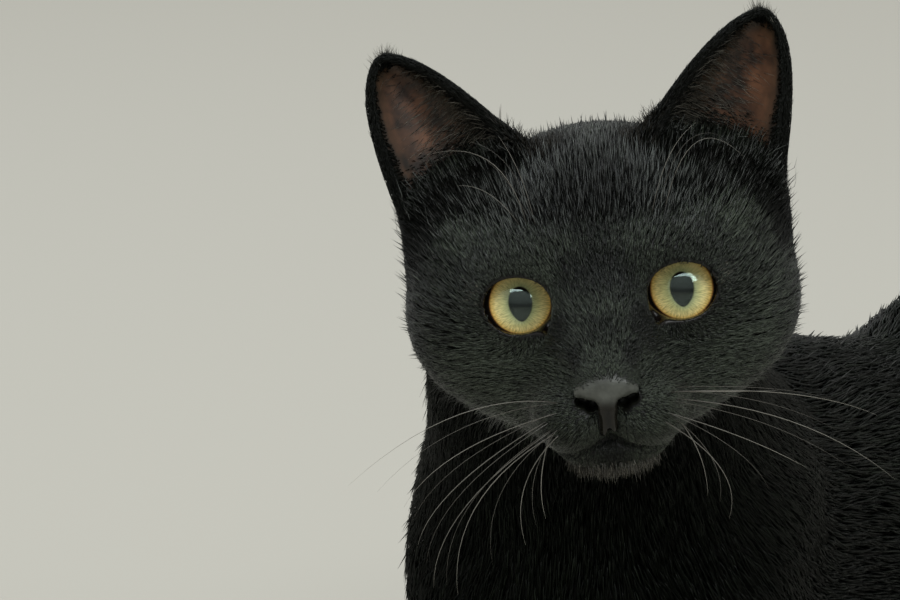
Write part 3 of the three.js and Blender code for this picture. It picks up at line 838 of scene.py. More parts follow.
# How far the iris's inner edge and the pupil's cup lie before the eyeball's middle.
IRIS_DEPTH, CUP_WALL, CUP_FLOOR, CUP_MIDDLE = 6.75, 6.2, 5.75, 5.7
IRIS_FALL = 0.65  # how much deeper the iris's outer edge lies than its inner edge
CORNEA_BACK = 0.8  # how far the cornea's hidden back lies behind the cornea's edge
GAZE_POINT = (35, -988, 154)  # in the head's frame
spokes = np.linspace(0, 2 * np.pi, EYE_SPOKES, endpoint=False)


def pupil_edge():
    """The pupil's outline: an oval, drawn to a point at its lower end."""
    x, z = np.cos(spokes), np.sin(spokes)
    narrowing = np.where(z < 0, 1 - 0.24 * np.abs(z) ** 2.5, 1)
    return np.stack([PUPIL_HALF_WIDTH * x * narrowing, np.where(z > 0, PUPIL_TOP, PUPIL_BOTTOM) * z], 1)


def ring(xz, y):
    """An outline in the eye's own frame, at one depth."""
    return np.column_stack([xz[:, 0], np.full(len(xz), y), xz[:, 1]])


def circle(radius):
    """A round outline with a point on each spoke."""
    return np.stack([np.cos(spokes), np.sin(spokes)], 1) * radius


def ring_mesh(rings, first, last):
    """A closed body through rings of points, with a point at either end."""
    count = len(spokes)
    points = np.vstack([[first], *rings, [last]])
    faces = []
    for n in range(len(rings) - 1):
        for i in range(count):
            j = (i + 1) % count
            a, b = 1 + n * count, 1 + (n + 1) * count
            faces += [(a + i, b + j, a + j), (a + i, b + i, b + j)]
    end = len(points) - 1
    for i in range(count):
        j = (i + 1) % count
        faces += [(0, 1 + i, 1 + j), (end, end - count + j, end - count + i)]
    return points, np.array(faces)


def eye_frame(side):
    """The place of an eye that looks at the gaze point, and its axes to the left, back and up."""
    place = np.array((EYE_X * side, EYE_DEPTH, 0))
    back = place - GAZE_POINT
    back /= np.linalg.norm(back)
    left = np.cross(back, (0, 0, 1))
    left /= np.linalg.norm(left)
    return place, np.stack([left, back, np.cross(left, back)], 1)


def into_eye(points, side):
    """Points of an eye's own frame, in their place on the cat."""
    place, axes_of_eye = eye_frame(side)
    return from_head(points @ axes_of_eye.T + place) + SHIFT


# %% Eyeballs and corneas
def eyeball(side):
    """The ball, with a mark on each ring: 0 to 1 in the pupil, 1 to 2 on the iris, 2 to 3 behind it."""
    edge = pupil_edge()
    rings = [ring(edge * 0.6, -CUP_FLOOR), ring(edge * 0.97, -CUP_WALL), ring(edge, -IRIS_DEPTH)]
    marks = [0, 0, 1]
    for share in np.linspace(0.12, 1, 9):
        flat = edge + (circle(LIMBUS - 0.25) - edge) * share
        rings.append(ring(flat, -IRIS_DEPTH + IRIS_FALL * share**1.5))
        marks.append(1 + share)
    limbus_angle = np.arcsin(LIMBUS / GLOBE)
    for share in np.linspace(0, 0.97, 15):
        angle = limbus_angle + (np.pi - limbus_angle) * share
        rings.append(ring(circle(GLOBE * np.sin(angle)), -GLOBE * np.cos(angle)))
        marks.append(2.15 + 0.85 * share)
    points, faces = ring_mesh(rings, (0, -CUP_MIDDLE, 0), (0, GLOBE, 0))
    name = "eyeball_left" if side > 0 else "eyeball_right"
    thing = mesh_object(name, into_eye(points, side), faces)
    store(thing.data, "ring", [0, *np.repeat(marks, EYE_SPOKES), 3])
    store(thing.data, "spoke_x", [0, *np.tile(np.cos(spokes), len(rings)), 0])
    store(thing.data, "spoke_z", [0, *np.tile(np.sin(spokes), len(rings)), 0])
    return thing


def cornea(side):
    """A clear dome over the iris. Its flat back lies behind the iris, so only its front shows."""
    base = np.sqrt(GLOBE**2 - LIMBUS**2)
    rise = CORNEA_FRONT - base
    bend = (LIMBUS**2 + rise**2) / (2 * rise)
    widest = np.arcsin(LIMBUS / bend)
    rings = []
    for share in np.linspace(0.06, 1, 16):
        depth = -(CORNEA_FRONT - bend) - bend * np.cos(widest * share)
        rings.append(ring(circle(bend * np.sin(widest * share)), depth))
    rings.append(ring(circle(LIMBUS - 1), -base + CORNEA_BACK))
    points, faces = ring_mesh(rings, (0, -CORNEA_FRONT, 0), (0, -base + CORNEA_BACK, 0))
    name = "cornea_left" if side > 0 else "cornea_right"
    return mesh_object(name, into_eye(points, side), faces)


eyeballs = [eyeball(side) for side in BOTH_SIDES]
corneas = [cornea(side) for side in BOTH_SIDES]
print("eyes:", [len(thing.data.polygons) for thing in eyeballs + corneas], "faces")

# %% [markdown]
# ## The coat
# Short fur is thousands of hairs that lie flat, overlap like tiles and gather in small locks. Each
# lock here is one closed leaf: a point in the skin, three corners at its widest place, and a tip.
# Its length, width and height follow the part of the body, from 3 mm on the muzzle to 15 mm on the
# flanks. Its way follows the lie of a cat's coat, which leaves the nose in all directions, runs
# back along the neck and trunk and down the limbs to the toes. Hair curves or particles would be
# easier to comb, but only mesh survives an export, so the locks are joined in arrays.

# %% An unwrap of the skin
def unwrap(thing):
    """Lays the faces out flat on the map that a bake would paint."""
    thing.data.uv_layers.active = thing.data.uv_layers.new(name="OFBake")
    bpy.context.view_layer.objects.active = thing
    thing.select_set(True)
    bpy.ops.object.mode_set(mode="EDIT")
    bpy.ops.mesh.select_all(action="SELECT")
    bpy.ops.uv.smart_project(angle_limit=1.15, island_margin=0.002)
    bpy.ops.object.mode_set(mode="OBJECT")
    thing.select_set(False)


def read(collection, name, kind, width):
    """One property of all of a mesh's vertices, corners or triangles, as rows."""
    flat = np.empty(len(collection) * width, kind)
    collection.foreach_get(name, flat)
    return flat.reshape(-1, width)


unwrap(skin)
skin_mesh.calc_loop_triangles()
corners_of = read(skin_mesh.loop_triangles, "vertices", np.int32, 3)
loops_of = read(skin_mesh.loop_triangles, "loops", np.int32, 3)
skin_uv = read(skin_mesh.uv_layers["OFBake"].data, "uv", np.float32, 2)
skin_normals = read(skin_mesh.vertices, "normal", np.float32, 3)
corners = skin_points[corners_of]
crossed = np.cross(corners[:, 1] - corners[:, 0], corners[:, 2] - corners[:, 0])
triangle_areas = np.linalg.norm(crossed, axis=1) / 2
skin_area = round(float(triangle_areas.sum()) / 100)
print("unwrapped", len(skin_uv), "corners; skin area", skin_area, "square cm")

# %% [markdown]
# The lie and the size of the coat are given for each named part, and each point of the skin takes a
# share of the parts that it is near to, so that the coat turns smoothly where the neck joins the
# head or a leg joins the trunk.

# %% Parts, sizes and lie of the coat
PARTS = dict(
    trunk=trunk,
    neck=neck,
    shoulder=joined(1, *(shoulder(side) for side in BOTH_SIDES)),
    forearm=joined(1, *forearms),
    thigh=joined(1, *thighs),
    hind_foot=joined(1, *hind_feet),
    forepaw=joined(1, *forepaws),
    hind_paw=joined(1, *hind_paws),
    tail=tail,
    head=lambda p: head_outline(to_head(p)) - 2,
)
# Length and width of a lock and height of the coat, in mm.
COAT_SIZES = dict(
    trunk=(15, 0.95, 5),
    neck=(12, 0.7, 4.2),
    shoulder=(12, 0.85, 4.4),
    forearm=(8, 0.6, 2.6),
    thigh=(13, 0.9, 4.6),
    hind_foot=(7, 0.55, 2.4),
    forepaw=(4.5, 0.4, 1.3),
    hind_paw=(4.5, 0.4, 1.3),
    tail=(12, 0.8, 4.2),
    head=(7, 0.33, 2.6),
)
# The way the hair points: to the cat's left, back and up.
COAT_WAYS = dict(
    trunk=(0, 1, -0.3),
    neck=(-0.22, 0.6, -0.8),
    shoulder=(0, 0.45, -1),
    forearm=(0, -1, -0.15),
    thigh=(0, 0.5, -0.9),
    hind_foot=(-0.22, -1, 0),
    forepaw=(0, -1, -0.1),
    hind_paw=(-0.22, -1, -0.1),
)
PART_BLEND = 5  # mm over which neighbouring parts share the coat
FACE_SIZE = np.array((3.3, 0.25, 0.9), np.float32)  # of a lock at the nose
EAR_SIZE = np.array((3.6, 0.25, 0.6), np.float32)
NOSE_TIP = np.array((0, -31, -19), np.float32)
SEED = 20
random = np.random.default_rng(SEED)
print("parts with a coat of their own:", len(COAT_SIZES))


# %% The lie of the coat
def unit(vectors):
    """Vectors with the same directions and a length of 1."""
    return vectors / np.maximum(np.linalg.norm(vectors, axis=1), 1e-6)[:, None]


def part_shares(p):
    """How much each point belongs to each named part."""
    away = {name: field(p) for name, field in PARTS.items()}
    least = np.min(list(away.values()), axis=0)
    shares = {name: np.exp((least - value) / PART_BLEND) for name, value in away.items()}
    return {name: value / sum(shares.values()) for name, value in shares.items()}


def tail_way(p):
    """The direction of the tail's middle line at its place nearest to each point."""
    line = np.array(tail_line, np.float32)
    nearest = np.argmin(np.square(p[:, None] - line[None]).sum(2), axis=1)
    return unit(np.gradient(line, axis=0)[nearest])


def face_way(here):
    """Hair leaves the nose in all directions, turns up on the forehead and parts round the eyes."""
    way = unit(here - NOSE_TIP)
    way[:, 2] += 0.25 * ramp(here[:, 2], -10, 10)
    for side in BOTH_SIDES:
        to_eye = np.array((EYE_X * side, -6, 0), np.float32) - here
        distance = np.linalg.norm(to_eye, axis=1)
        to_eye /= distance[:, None]
        into = np.maximum((way * to_eye).sum(1), 0) * ramp(-distance, -17, -10)
        into = into + 0.7 * ramp(-distance, -14, -10)
        way -= to_eye * into[:, None]
    return way


def ear_way(here, way):
    """Hair runs up an ear's back and rim to the tip; in the cup it crosses from the inner edge."""
    on_ear = np.zeros(len(here), np.float32)
    for ear in ears:
        near_ear = np.flatnonzero(np.square(here - ear.centre).sum(1) < (ear.reach + 3) ** 2)
        near_ear = near_ear[ear.field(here[near_ear]) < 1.5]
        distance, across, up, ahead = ear.look_up(here[near_ear])
        place = ear_sheet(ear.side, across, up)
        upward = unit(ear_sheet(ear.side, across, up + 0.02) - place)
        outward = unit(ear_sheet(ear.side, across + 0.02, up) - place)
        inside = ramp(ahead, 0.1, 0.5) * ramp(across, 0.03, 0.12) * ramp(1 - across, 0.02, 0.1)
        turned = upward * (1 - 0.75 * inside)[:, None] + outward * inside[:, None]
        share = ramp(1.5 - ear.field(here[near_ear]), 0, 0.8) * ramp(up, 0.04, 0.25)
        way[near_ear] = way[near_ear] * (1 - share)[:, None] + turned * share[:, None]
        on_ear[near_ear] = np.maximum(on_ear[near_ear], share)
    return on_ear


def lie(p, normals, shares):
    """The way the coat lies, along the skin, and the share of an ear in it."""
    here = to_head(p)
    way = face_way(here)
    on_ear = ear_way(here, way)
    way = (way @ HEAD_AXES.T) * np.maximum(shares["head"], on_ear)[:, None]
    way += tail_way(p) * shares["tail"][:, None]
    for name, part_way in COAT_WAYS.items():
        way += unit(np.array([part_way], np.float32)) * (shares[name] * (1 - on_ear))[:, None]
    # On the chest it hangs straight down.
    chest = (ramp(-p[:, 1], 10, 48) * (shares["trunk"] + 0.5 * shares["neck"]))[:, None]
    way = way * (1 - chest) + np.array((0, 0.1, -1), np.float32) * chest
    return unit(way - normals * (way * normals).sum(1)[:, None]), on_ear


def coat_sizes(p, shares, on_ear):
    """Length and width of a lock and height of the coat at each point."""
    sizes = sum(shares[name][:, None] * np.array([size], np.float32) for name, size in COAT_SIZES.items())
    here = to_head(p)
    face = (ramp(-here[:, 1], -22, 24) * ramp(shares["head"], 0.3, 0.8))[:, None]
    sizes += (FACE_SIZE - sizes) * face
    sizes += (EAR_SIZE - sizes) * on_ear[:, None]
    # Shorter at the ears' tips and in their cups.
    sizes[:, 0] *= (1 - 0.5 * ramp(ear_up, 0.75, 1)) * (1 - 0.45 * ear_share)
    # Shorter at the tail's end, which is round.
    to_tail_end = np.linalg.norm(p - np.array(tail_line[-1], np.float32), axis=1)
    sizes[:, 0] *= 0.45 + 0.55 * ramp(to_tail_end, 8, 26)
    # Shorter, lower and a little narrower beside bare skin.
    to_bare = np.minimum(np.minimum(to_lid_edge, to_leather), to_mouth + 1)
    sizes *= (0.45 + 0.55 * ramp(to_bare, 1, 7))[:, None] ** (1, 0.3, 1)
    # Narrow near the head, where it is seen from close by.
    near_head = ramp(-np.linalg.norm(here - (0, 30, 0), axis=1), -150, -70)
    sizes[:, 1] = np.minimum(sizes[:, 1], 1 - 0.5 * near_head)
    return sizes


skin_shares = part_shares(skin_points)
skin_ways, skin_ear = lie(skin_points, skin_normals, skin_shares)
skin_sizes = coat_sizes(skin_points, skin_shares, skin_ear)
print("lock lengths", skin_sizes[:, 0].min().round(1), "to", skin_sizes[:, 0].max().round(1), "mm")

# %% [markdown]
# Each triangle of the skin gets roots in proportion to its area. A leaf is drawn from each root to
# a tip a little over the skin, its middle is lifted so that it arches, and neighbouring tips are
# drawn together, as fur clumps. The roots, tips and faces are handled as whole arrays, because a
# loop over 200,000 locks would take minutes.

# %% Planting and growing locks
PATCH = 0.003  # across each lock's place on the unwrap
ROOT_DEPTH = 0.4  # of a lock's root inside the skin
FLOOR_CLEAR = 0.15  # height over the floor of the lowest hairs
MOST_TRIANGLES = 190000  # of a piece
# How far the shade swings from patch to patch, a patch's size in mm, and how far single locks differ.
SHADE_SWING, SHADE_PATCH, SHADE_SPREAD = 0.22, 14, 0.2
LEAF = np.array([(0, 2, 1), (0, 3, 2), (0, 1, 3), (4, 1, 2), (4, 2, 3), (4, 3, 1)])
LEAF_MIDDLE, LEAF_RIDGE = 0.42, 0.45  # where a leaf is widest, of its length, and its ridge, of its width
LEAF_ALONG = np.array((0, LEAF_MIDDLE, LEAF_MIDDLE, LEAF_MIDDLE, 1), np.float32)
LEAF_ACROSS = np.array((0, -0.5, 0, 0.5, 0), np.float32)
STREAKS_ACROSS, STREAKS_ALONG = 3.5, 1.4  # how often a streak's shade changes over a lock
OWN_STREAKS = (900, 77)  # each lock reads another part of the streaks, set by its shade times these


def ripple(p, size):
    """A smooth wandering value between about -1 and 1."""
    a, b, c = (p / size).T
    first, second = np.sin(a + 1.7 * np.sin(b)), np.sin(1.3 * b + 1.9 * np.sin(c))
    return (first + second + np.sin(0.9 * c + 1.6 * np.sin(a))) / 3


class Planted:
    """Roots on the skin: each triangle gets its expected number of them."""

    def __init__(self, expected):
        total = np.cumsum(expected)
        count = int(total[-1])
        at = (np.arange(count) + random.random(count)) * (total[-1] / count)
        self.triangle = np.minimum(np.searchsorted(total, at), len(expected) - 1)
        a, b = np.sqrt(random.random(count)), random.random(count)
        self.weights = np.stack([1 - a, a * (1 - b), a * b], 1).astype(np.float32)
        self.place, self.normal = self.read(skin_points), unit(self.read(skin_normals))
        self.uv = np.einsum("nk,nkc->nc", self.weights, skin_uv[loops_of[self.triangle]])
        patches = 0.5 + SHADE_SWING * ripple(self.place, SHADE_PATCH)
        self.shade = np.clip(patches + random.normal(0, SHADE_SPREAD, count), 0, 1)

    def read(self, values):
        """A value of the skin's vertices at each root."""
        return np.einsum("nk,nk...->n...", self.weights, values[corners_of[self.triangle]])


def at_height(p, normals, height):
    """Moves points along the skin's normal to a height over the skin."""
    for _ in range(2):
        p = p + normals * np.clip(height - skin_field(p), -4, 4)[:, None]
    return p


def gathered(roots, tips, size, share):
    """Draws the tips of neighbours together, so that locks form and part."""
    cell = np.floor((roots + random.uniform(0, 9, 3)) / size[:, None]).astype(np.int64)
    # Three large primes make one number of a cell's three.
    _, group = np.unique(cell @ (73856093, 19349663, 83492791), return_inverse=True)
    number = np.bincount(group)
    mean = np.stack([np.bincount(group, tips[:, n]) / number for n in range(3)], 1)[group]
    return tips + (mean - tips) * share


# %% Leaves
def finish_hairs(name, points, faces, along, across, uv, shade):
    """One piece of small bodies with equal faces, marked for colour and place on the unwrap."""
    count, corners_each = points.shape[:2]
    every = (np.arange(count)[:, None, None] * corners_each + faces).reshape(-1, 3)
    points = points.reshape(-1, 3)
    points[:, 2] = np.maximum(points[:, 2], FLOOR_CLEAR)
    thing = mesh_object(name, points + SHIFT, every)
    store(thing.data, "along", np.tile(along, count))
    store(thing.data, "shade", np.repeat(shade, corners_each))
    own = [shade[:, None] * apart for apart in OWN_STREAKS]
    strand = np.broadcast_arrays(across * STREAKS_ACROSS + own[0], along * STREAKS_ALONG, own[1])
    streaks = thing.data.attributes.new("strand", "FLOAT_VECTOR", "POINT")
    streaks.data.foreach_set("vector", np.stack(strand, -1).astype(np.float32).ravel())
    spots = uv[:, None] + np.stack([across, along - 0.5], 1) * PATCH
    layer = thing.data.uv_layers.new(name="OFBake")
    layer.data.foreach_set("uv", spots.reshape(-1, 2)[every.ravel()].astype(np.float32).ravel())
    return thing


def leaves(name, root, normal, tip, width, height, uv, shade):
    """One closed leaf from each root to its tip."""
    way = unit(tip - root)
    side = unit(np.cross(way, normal)) * (width / 2)[:, None]
    ridge = unit(np.cross(side, way)) * (width * LEAF_RIDGE)[:, None]
    middle = at_height(root + (tip - root) * LEAF_MIDDLE, normal, height)
    points = np.stack([root - normal * ROOT_DEPTH, middle - side, middle + ridge, middle + side, tip], 1)
    return finish_hairs(name, points, LEAF, LEAF_ALONG, LEAF_ACROSS, uv, shade)


# %% [markdown]
# Light and shade are painted into the hair of the face. The brows, cheeks, crown and chin are a little
# paler, as painted highlights and light. The feet of the ears, the forehead, the place between the eyes,
# the sides and bridge of the nose and the place under the mouth are darker, as painted shade. Each such
# place is a soft spot that shifts the shade of the hair that grows in it. This keeps the painted light
# in the hair itself, where a painted picture would need an image file.

# %% Light and shade painted on the face
# Painted light and shade: a spot that raises the shade is painted light, and one that lowers it is
# painted shade.
LIGHT_AND_SHADE_SPOTS = (  # place on the head, reach in mm and change of shade
    ((14, 18, 36), 9, -0.5),  # foot of the ear, in four steps outwards
    ((26, 14, 33), 11, -0.5),
    ((39, 12, 27), 12, -0.5),
    ((47, 16, 14), 9, -0.4),
    ((0, 0, 20), 16, -0.35),  # middle of the forehead
    ((22, 0, 19), 9, 0.3),  # brow
    ((33, 4, 17), 10, 0.3),
    ((5, 24, 40), 9, 0.3),  # crown
    ((0, -10, 4), 14, -0.5),  # between the eyes
    ((8, -17, -7), 8, -0.5),  # sides of the nose
    ((6.8, -25, -12), 4.5, -0.45),
    ((0, -22, -8), 7, -0.35),  # bridge of the nose
    ((30, -2, -20), 20, 0.27),  # cheek
    ((0, -22, -34.5), 7, -0.6),  # under the mouth
    ((0, -19, -40.5), 8, 0.4),  # chin
)


def paint_light_and_shade(planted):
    """Paints light and shade into planted hairs: shifts their shade near the spots, on both sides of the
    head.
    """
    here = to_head(planted.place)
    for place, reach, change in LIGHT_AND_SHADE_SPOTS:
        both = [np.linalg.norm(here - mirrored(place, side), axis=1) for side in BOTH_SIDES]
        planted.shade += change * ramp(-np.min(both, axis=0), -reach, -reach * 0.3)
    planted.shade = np.clip(planted.shade, 0, 1)


print("shaded spots:", len(LIGHT_AND_SHADE_SPOTS))

# %% [markdown]
# Real hair lies many layers deep. Here two or three locks over each place hide the skin, and none
# grow where it is bare. Some locks stray and stand off the others, because a coat whose hairs all
# end at one height looks like felt.

# %% Where the coat grows
COVER_BODY, COVER_HEAD = 2.35, 2.85  # how many locks lie over each place, on average
STRAY_SHARE, STRAY_LIFT, STRAY_LIFT_ON_HEAD = 0.08, 1.35, 0.6  # the last is added to the lift
SHORT_COAT, SHORT_TUFT, LONG_TUFT = 1.6, 1.6, 3.6  # mm: height of short hair, and widths of the tufts
TUFT_DRAW = 0.3  # how far a tip is drawn to the middle of its tuft
LEAF_SHARE = 0.5  # of a lock's length times width that the leaf covers
cup_bare = ear_share * ramp(ear_across, 0.04, 0.2) * ramp(-ear_across, -0.98, -0.9)
cup_bare *= ramp(ear_up, 0.1, 0.4) * ramp(-ear_up, -0.98, -0.85)
bare = np.clip(leather_share * 1.05 + hole_share + wet_share * 1.3 + 0.7 * lip_share + cup_bare, 0, 1)
cover = COVER_BODY + (COVER_HEAD - COVER_BODY) * ramp(skin_shares["head"], 0.3, 0.7)
per_area = cover * (1 - bare) / (skin_sizes[:, 0] * skin_sizes[:, 1] * LEAF_SHARE)
locks = Planted(triangle_areas * per_area[corners_of].mean(1))
face_height, head_share = locks.read(hz), locks.read(skin_shares["head"])
on_face_part = locks.read(ramp(-hy, -12, 0) * skin_shares["head"])
# Painted light and shade: paler cheeks and brows, and a darker forehead.
locks.shade += on_face_part * (0.14 - 0.3 * ramp(face_height, 13, 24))
# Painted light and shade: a darker neck and chest, as painted shade under the head,
# and a paler back and haunches, as painted sheen.
locks.shade += (1 - head_share) * (0.3 * ramp(locks.place[:, 1], 50, 170) - 0.06)
paint_light_and_shade(locks)
print("locks:", len(locks.place))

# %% Size, turn and tip of each lock
length, width, height = locks.read(skin_sizes).T
way = locks.read(skin_ways)
way = unit(way - locks.normal * (way * locks.normal).sum(1)[:, None])
# Locks turn to one side over 9 mm and to the other over 3 mm, and each has a turn of its own.
wander = 0.2 * ripple(locks.place, 9) + 0.15 * ripple(locks.place + 50, 3.2)
bend = wander + random.normal(0, 0.1, len(way))
way = way * np.cos(bend)[:, None] + np.cross(way, locks.normal) * np.sin(bend)[:, None]
length = length * random.uniform(0.75, 1.2, len(length))
tip = locks.place + way * length[:, None]
tip = gathered(locks.place, tip, np.where(height < SHORT_COAT, SHORT_TUFT, LONG_TUFT), TUFT_DRAW)
strays = random.random(len(length)) < STRAY_SHARE
stray = np.where(strays, STRAY_LIFT + STRAY_LIFT_ON_HEAD * head_share, 1)
tip = at_height(tip, locks.normal, height * random.uniform(0.45, 1, len(length)) * stray)
middle_height = height * random.uniform(0.5, 0.75, len(length))
print("stray locks:", int(strays.sum()))

# %% [markdown]
# The head, the ears, the tail and the body take different finishes, so their locks are pieces of
# their own. Near the limit between two of them the locks are mixed at random, because a straight
# limit would show as a line. A part with too many triangles for one piece is cut in several, from
# the nose to the tail.

# %% Pieces of the coat
EAR_BASE_LINE = (
    (12, 19, 36),
    (20, 17, 35),
    (28, 14, 33),
    (36, 12, 30),
    (42, 12, 25),
    (47, 14, 18),
    (49, 16, 10),
)
MIXED = 0.35  # of a part's share, to either side of a limit between two parts


def around(places, full, none):
    """A share for places on both sides of the head: 1 within `full` mm of one, 0 beyond `none`."""
    both = [mirrored(place, side) for side in BOTH_SIDES for place in places]
    away = [np.linalg.norm(head_points - place, axis=1) for place in both]
    return ramp(-np.min(away, axis=0), -none, -full)


def mostly(share):
    """The locks of a part. Near its limits the locks of both sides are mixed."""
    return locks.read(share) + random.uniform(-MIXED, MIXED, len(locks.place)) >= 0.5


# Painted shade: the feet of the ears and the top of the brow take the darker, less glossy fur of the
# ears.
ear_base = around(EAR_BASE_LINE, 6, 13)
brow_top = skin_shares["head"] * ramp(hz, 15, 21) * ramp(-hy, -20, -8)
painted_shade_share = np.maximum(ear_base, brow_top)
front_share = skin_shares["head"] * ramp(-hy, -48, -12)
head_part = mostly(front_share + skin_ear)
ear_part = mostly(skin_ear + painted_shade_share)
tail_part = ~head_part & mostly(skin_shares["tail"])
COAT_GROUPS = dict(
    coat_head=head_part & ~ear_part,
    coat_ears=head_part & ear_part,
    coat_tail=tail_part,
    coat_body=~head_part & ~tail_part,
)
lock_values = (locks.place, locks.normal, tip, width, middle_height, locks.uv, locks.shade)
coat = []
for name, member in COAT_GROUPS.items():
    members = np.flatnonzero(member)
    members = members[np.argsort(locks.place[members, 1], kind="stable")]
    pieces = np.array_split(members, int(np.ceil(len(members) * len(LEAF) / MOST_TRIANGLES)))
    for number, n in enumerate(pieces, 1):
        coat.append(leaves(f"{name}_{number}", *(values[n] for values in lock_values)))
    print(name, len(members), "locks in", len(pieces), "pieces,", len(members) * len(LEAF), "triangles")

# %% [markdown]
# ## Long hairs
# Some hairs are not part of the flat coat: the wisps at the tips of the ears, the hairs that cross
# the cups of the ears, the fringe where the ears join the brow, and the bristly fringe under the
# chin. Each is a thin closed tube of three sides that tapers to its tip and bends a little, planted
# on the skin like the locks.

# %% Thin hairs as tubes
HAIR_STEPS = 4
HAIR_TAPER = 0.85  # of the radius, from the root to the tip
HAIR_RADII = dict(  # at the root, in mm
    ear_tip_wisps=0.07,
    ear_cup_hairs=0.085,
    ear_base_fringe=0.13,
    chin_fringe=0.1,
    lid_corner_hairs=0.075,
)


def tubes(name, lines, radii, uv, shade, sides=3):
    """Closed tapering tubes along lines, given as an array of hairs by steps by coordinates."""
    count, steps = lines.shape[:2]
    along_way = np.gradient(lines, axis=1)
    along_way /= np.linalg.norm(along_way, axis=2)[..., None]
    aside = np.cross(along_way, (0.31, 0.2, 0.93))
    aside /= np.linalg.norm(aside, axis=2)[..., None]
    over = np.cross(along_way, aside)
    turn = 2 * np.pi * np.arange(sides)[:, None] / sides
    around = aside[:, :, None] * np.cos(turn) + over[:, :, None] * np.sin(turn)
    rings = (lines[:, :, None] + around * radii[..., None, None]).reshape(count, -1, 3)
    points = np.concatenate([rings, lines[:, :1], lines[:, -1:]], 1)
    base, end = steps * sides, steps * sides + 1
    faces = []
    for i in range(sides):
        j = (i + 1) % sides
        for a in range(0, base - sides, sides):
            faces += [(a + i, a + j, a + sides + j), (a + i, a + sides + j, a + sides + i)]
        faces += [(base, j, i), (end, base - sides + i, base - sides + j)]
    share = np.repeat(np.linspace(0, 1, steps), sides)
    along = np.array([*share, 0, 1], np.float32)
    across = np.array([*np.tile(np.arange(sides) / sides - 0.5, steps), 0, 0], np.float32)
    return finish_hairs(name, points, np.array(faces), along, across, uv, shade)


def grow(name, planted, way, length, droop):
    """Hairs that leave the skin along a way and bend: `droop` says how far each tip is moved, in mm."""
    share = np.linspace(0, 1, HAIR_STEPS)[None, :, None]
    start = planted.place - planted.normal * ROOT_DEPTH
    lines = start[:, None] + (unit(way) * length[:, None])[:, None] * share + droop[:, None] * share**2
    taper = HAIR_RADII[name] * (1 - HAIR_TAPER * np.linspace(0, 1, HAIR_STEPS) ** 1.5)
    return tubes(name, lines, taper, planted.uv, planted.shade)


def planted_where(share, per_square_mm):
    """Roots of hairs, given where they grow and how many there are to the square millimetre."""
    return Planted(triangle_areas * (share * per_square_mm)[corners_of].mean(1))


def head_vector(*parts):
    """A direction of the head's frame, as one of the body's frame."""
    return np.array(parts, np.float32) @ HEAD_AXES.T


# %% Hairs of the ears, lids and chin
EAR_FRINGE_LINE = ((11, 22, 32), (16, 20, 37), (23, 18, 40), (30, 17, 36))
LID_CORNERS = ((12.2, -9, -7), (30.2, -4, 3.6))
long_hairs = []

# Wisps at the tips of the ears.
on_tip = skin_ear * ramp(ear_up, 0.86, 0.97)
wisps = planted_where(on_tip, 1.8)
scattered = random.normal(0, 0.35, wisps.place.shape)
way = wisps.normal * 0.25 + head_vector(0, 0.1, 1) + scattered
size = random.uniform(1.8, 4, len(way))
long_hairs.append(grow("ear_tip_wisps", wisps, way, size, scattered * 0.5))

# Pale hairs that cross the cups of the ears.
inner_cup = ear_share * ramp(ear_across, 0.02, 0.08) * ramp(-ear_across, -0.8, -0.4)
crossing = planted_where(inner_cup * ramp(-ear_up, -0.97, -0.8), 3.4)
mid_height = ramp(crossing.read(ear_up), 0.1, 0.3) * ramp(-crossing.read(ear_up), -0.8, -0.5)
crossing.shade = random.uniform(0.25, 0.6 + 0.4 * mid_height)
way = crossing.read(skin_ways) + crossing.normal * 0.45 + random.normal(0, 0.12, crossing.place.shape)
size = random.uniform(4, 9, len(way)) * (1 - 0.4 * crossing.read(ear_up))
bend = crossing.normal * -1.6 + random.normal(0, 0.6, (len(way), 3)) + head_vector(0, 0, -1)
long_hairs.append(grow("ear_cup_hairs", crossing, way, size, bend))

# A dark fringe where the ears join the brow.
fringe = planted_where(around(EAR_FRINGE_LINE, 2.5, 7) * (1 - 0.5 * ear_share), 3.4)
way = fringe.normal * 0.6 + head_vector(0, 0, 0.8) + random.normal(0, 0.2, fringe.place.shape)
size = random.uniform(3, 5.6, len(way))
fringe.shade *= 0.3
long_hairs.append(grow("ear_base_fringe", fringe, way, size, random.normal(0, 0.5, way.shape)))

# Bristles under the chin.
chin_edge = ramp(-hz, 36, 39) * ramp(hz, -46, -44) * ramp(-hy, 5, 14) * ramp(-np.abs(hx), -15, -11)
chin = planted_where(chin_edge * ramp(-skin_normals[:, 2], -0.3, 0.3), 3.4)
chin.shade *= 0.8
way = chin.normal * 0.3 + head_vector(0, -0.3, -0.9) + random.normal(0, 0.18, chin.place.shape)
size = 1.4 + 3.6 * random.beta(1.5, 2.5, len(way))
long_hairs.append(grow("chin_fringe", chin, way, size, random.normal(0, 0.4, way.shape)))

# Pale hairs beside the corners of the lids.
pale = planted_where(around(LID_CORNERS, 1.6, 4.4) * (1 - wet_share), 5)
pale.shade = random.uniform(0.6, 1, len(pale.place))
way = pale.read(skin_ways) + pale.normal * 0.5 + random.normal(0, 0.25, pale.place.shape)
size = random.uniform(1.4, 2.6, len(way))
long_hairs.append(grow("lid_corner_hairs", pale, way, size, random.normal(0, 0.2, way.shape)))
for thing in long_hairs:
    print(thing.name, len(thing.data.polygons), "triangles")
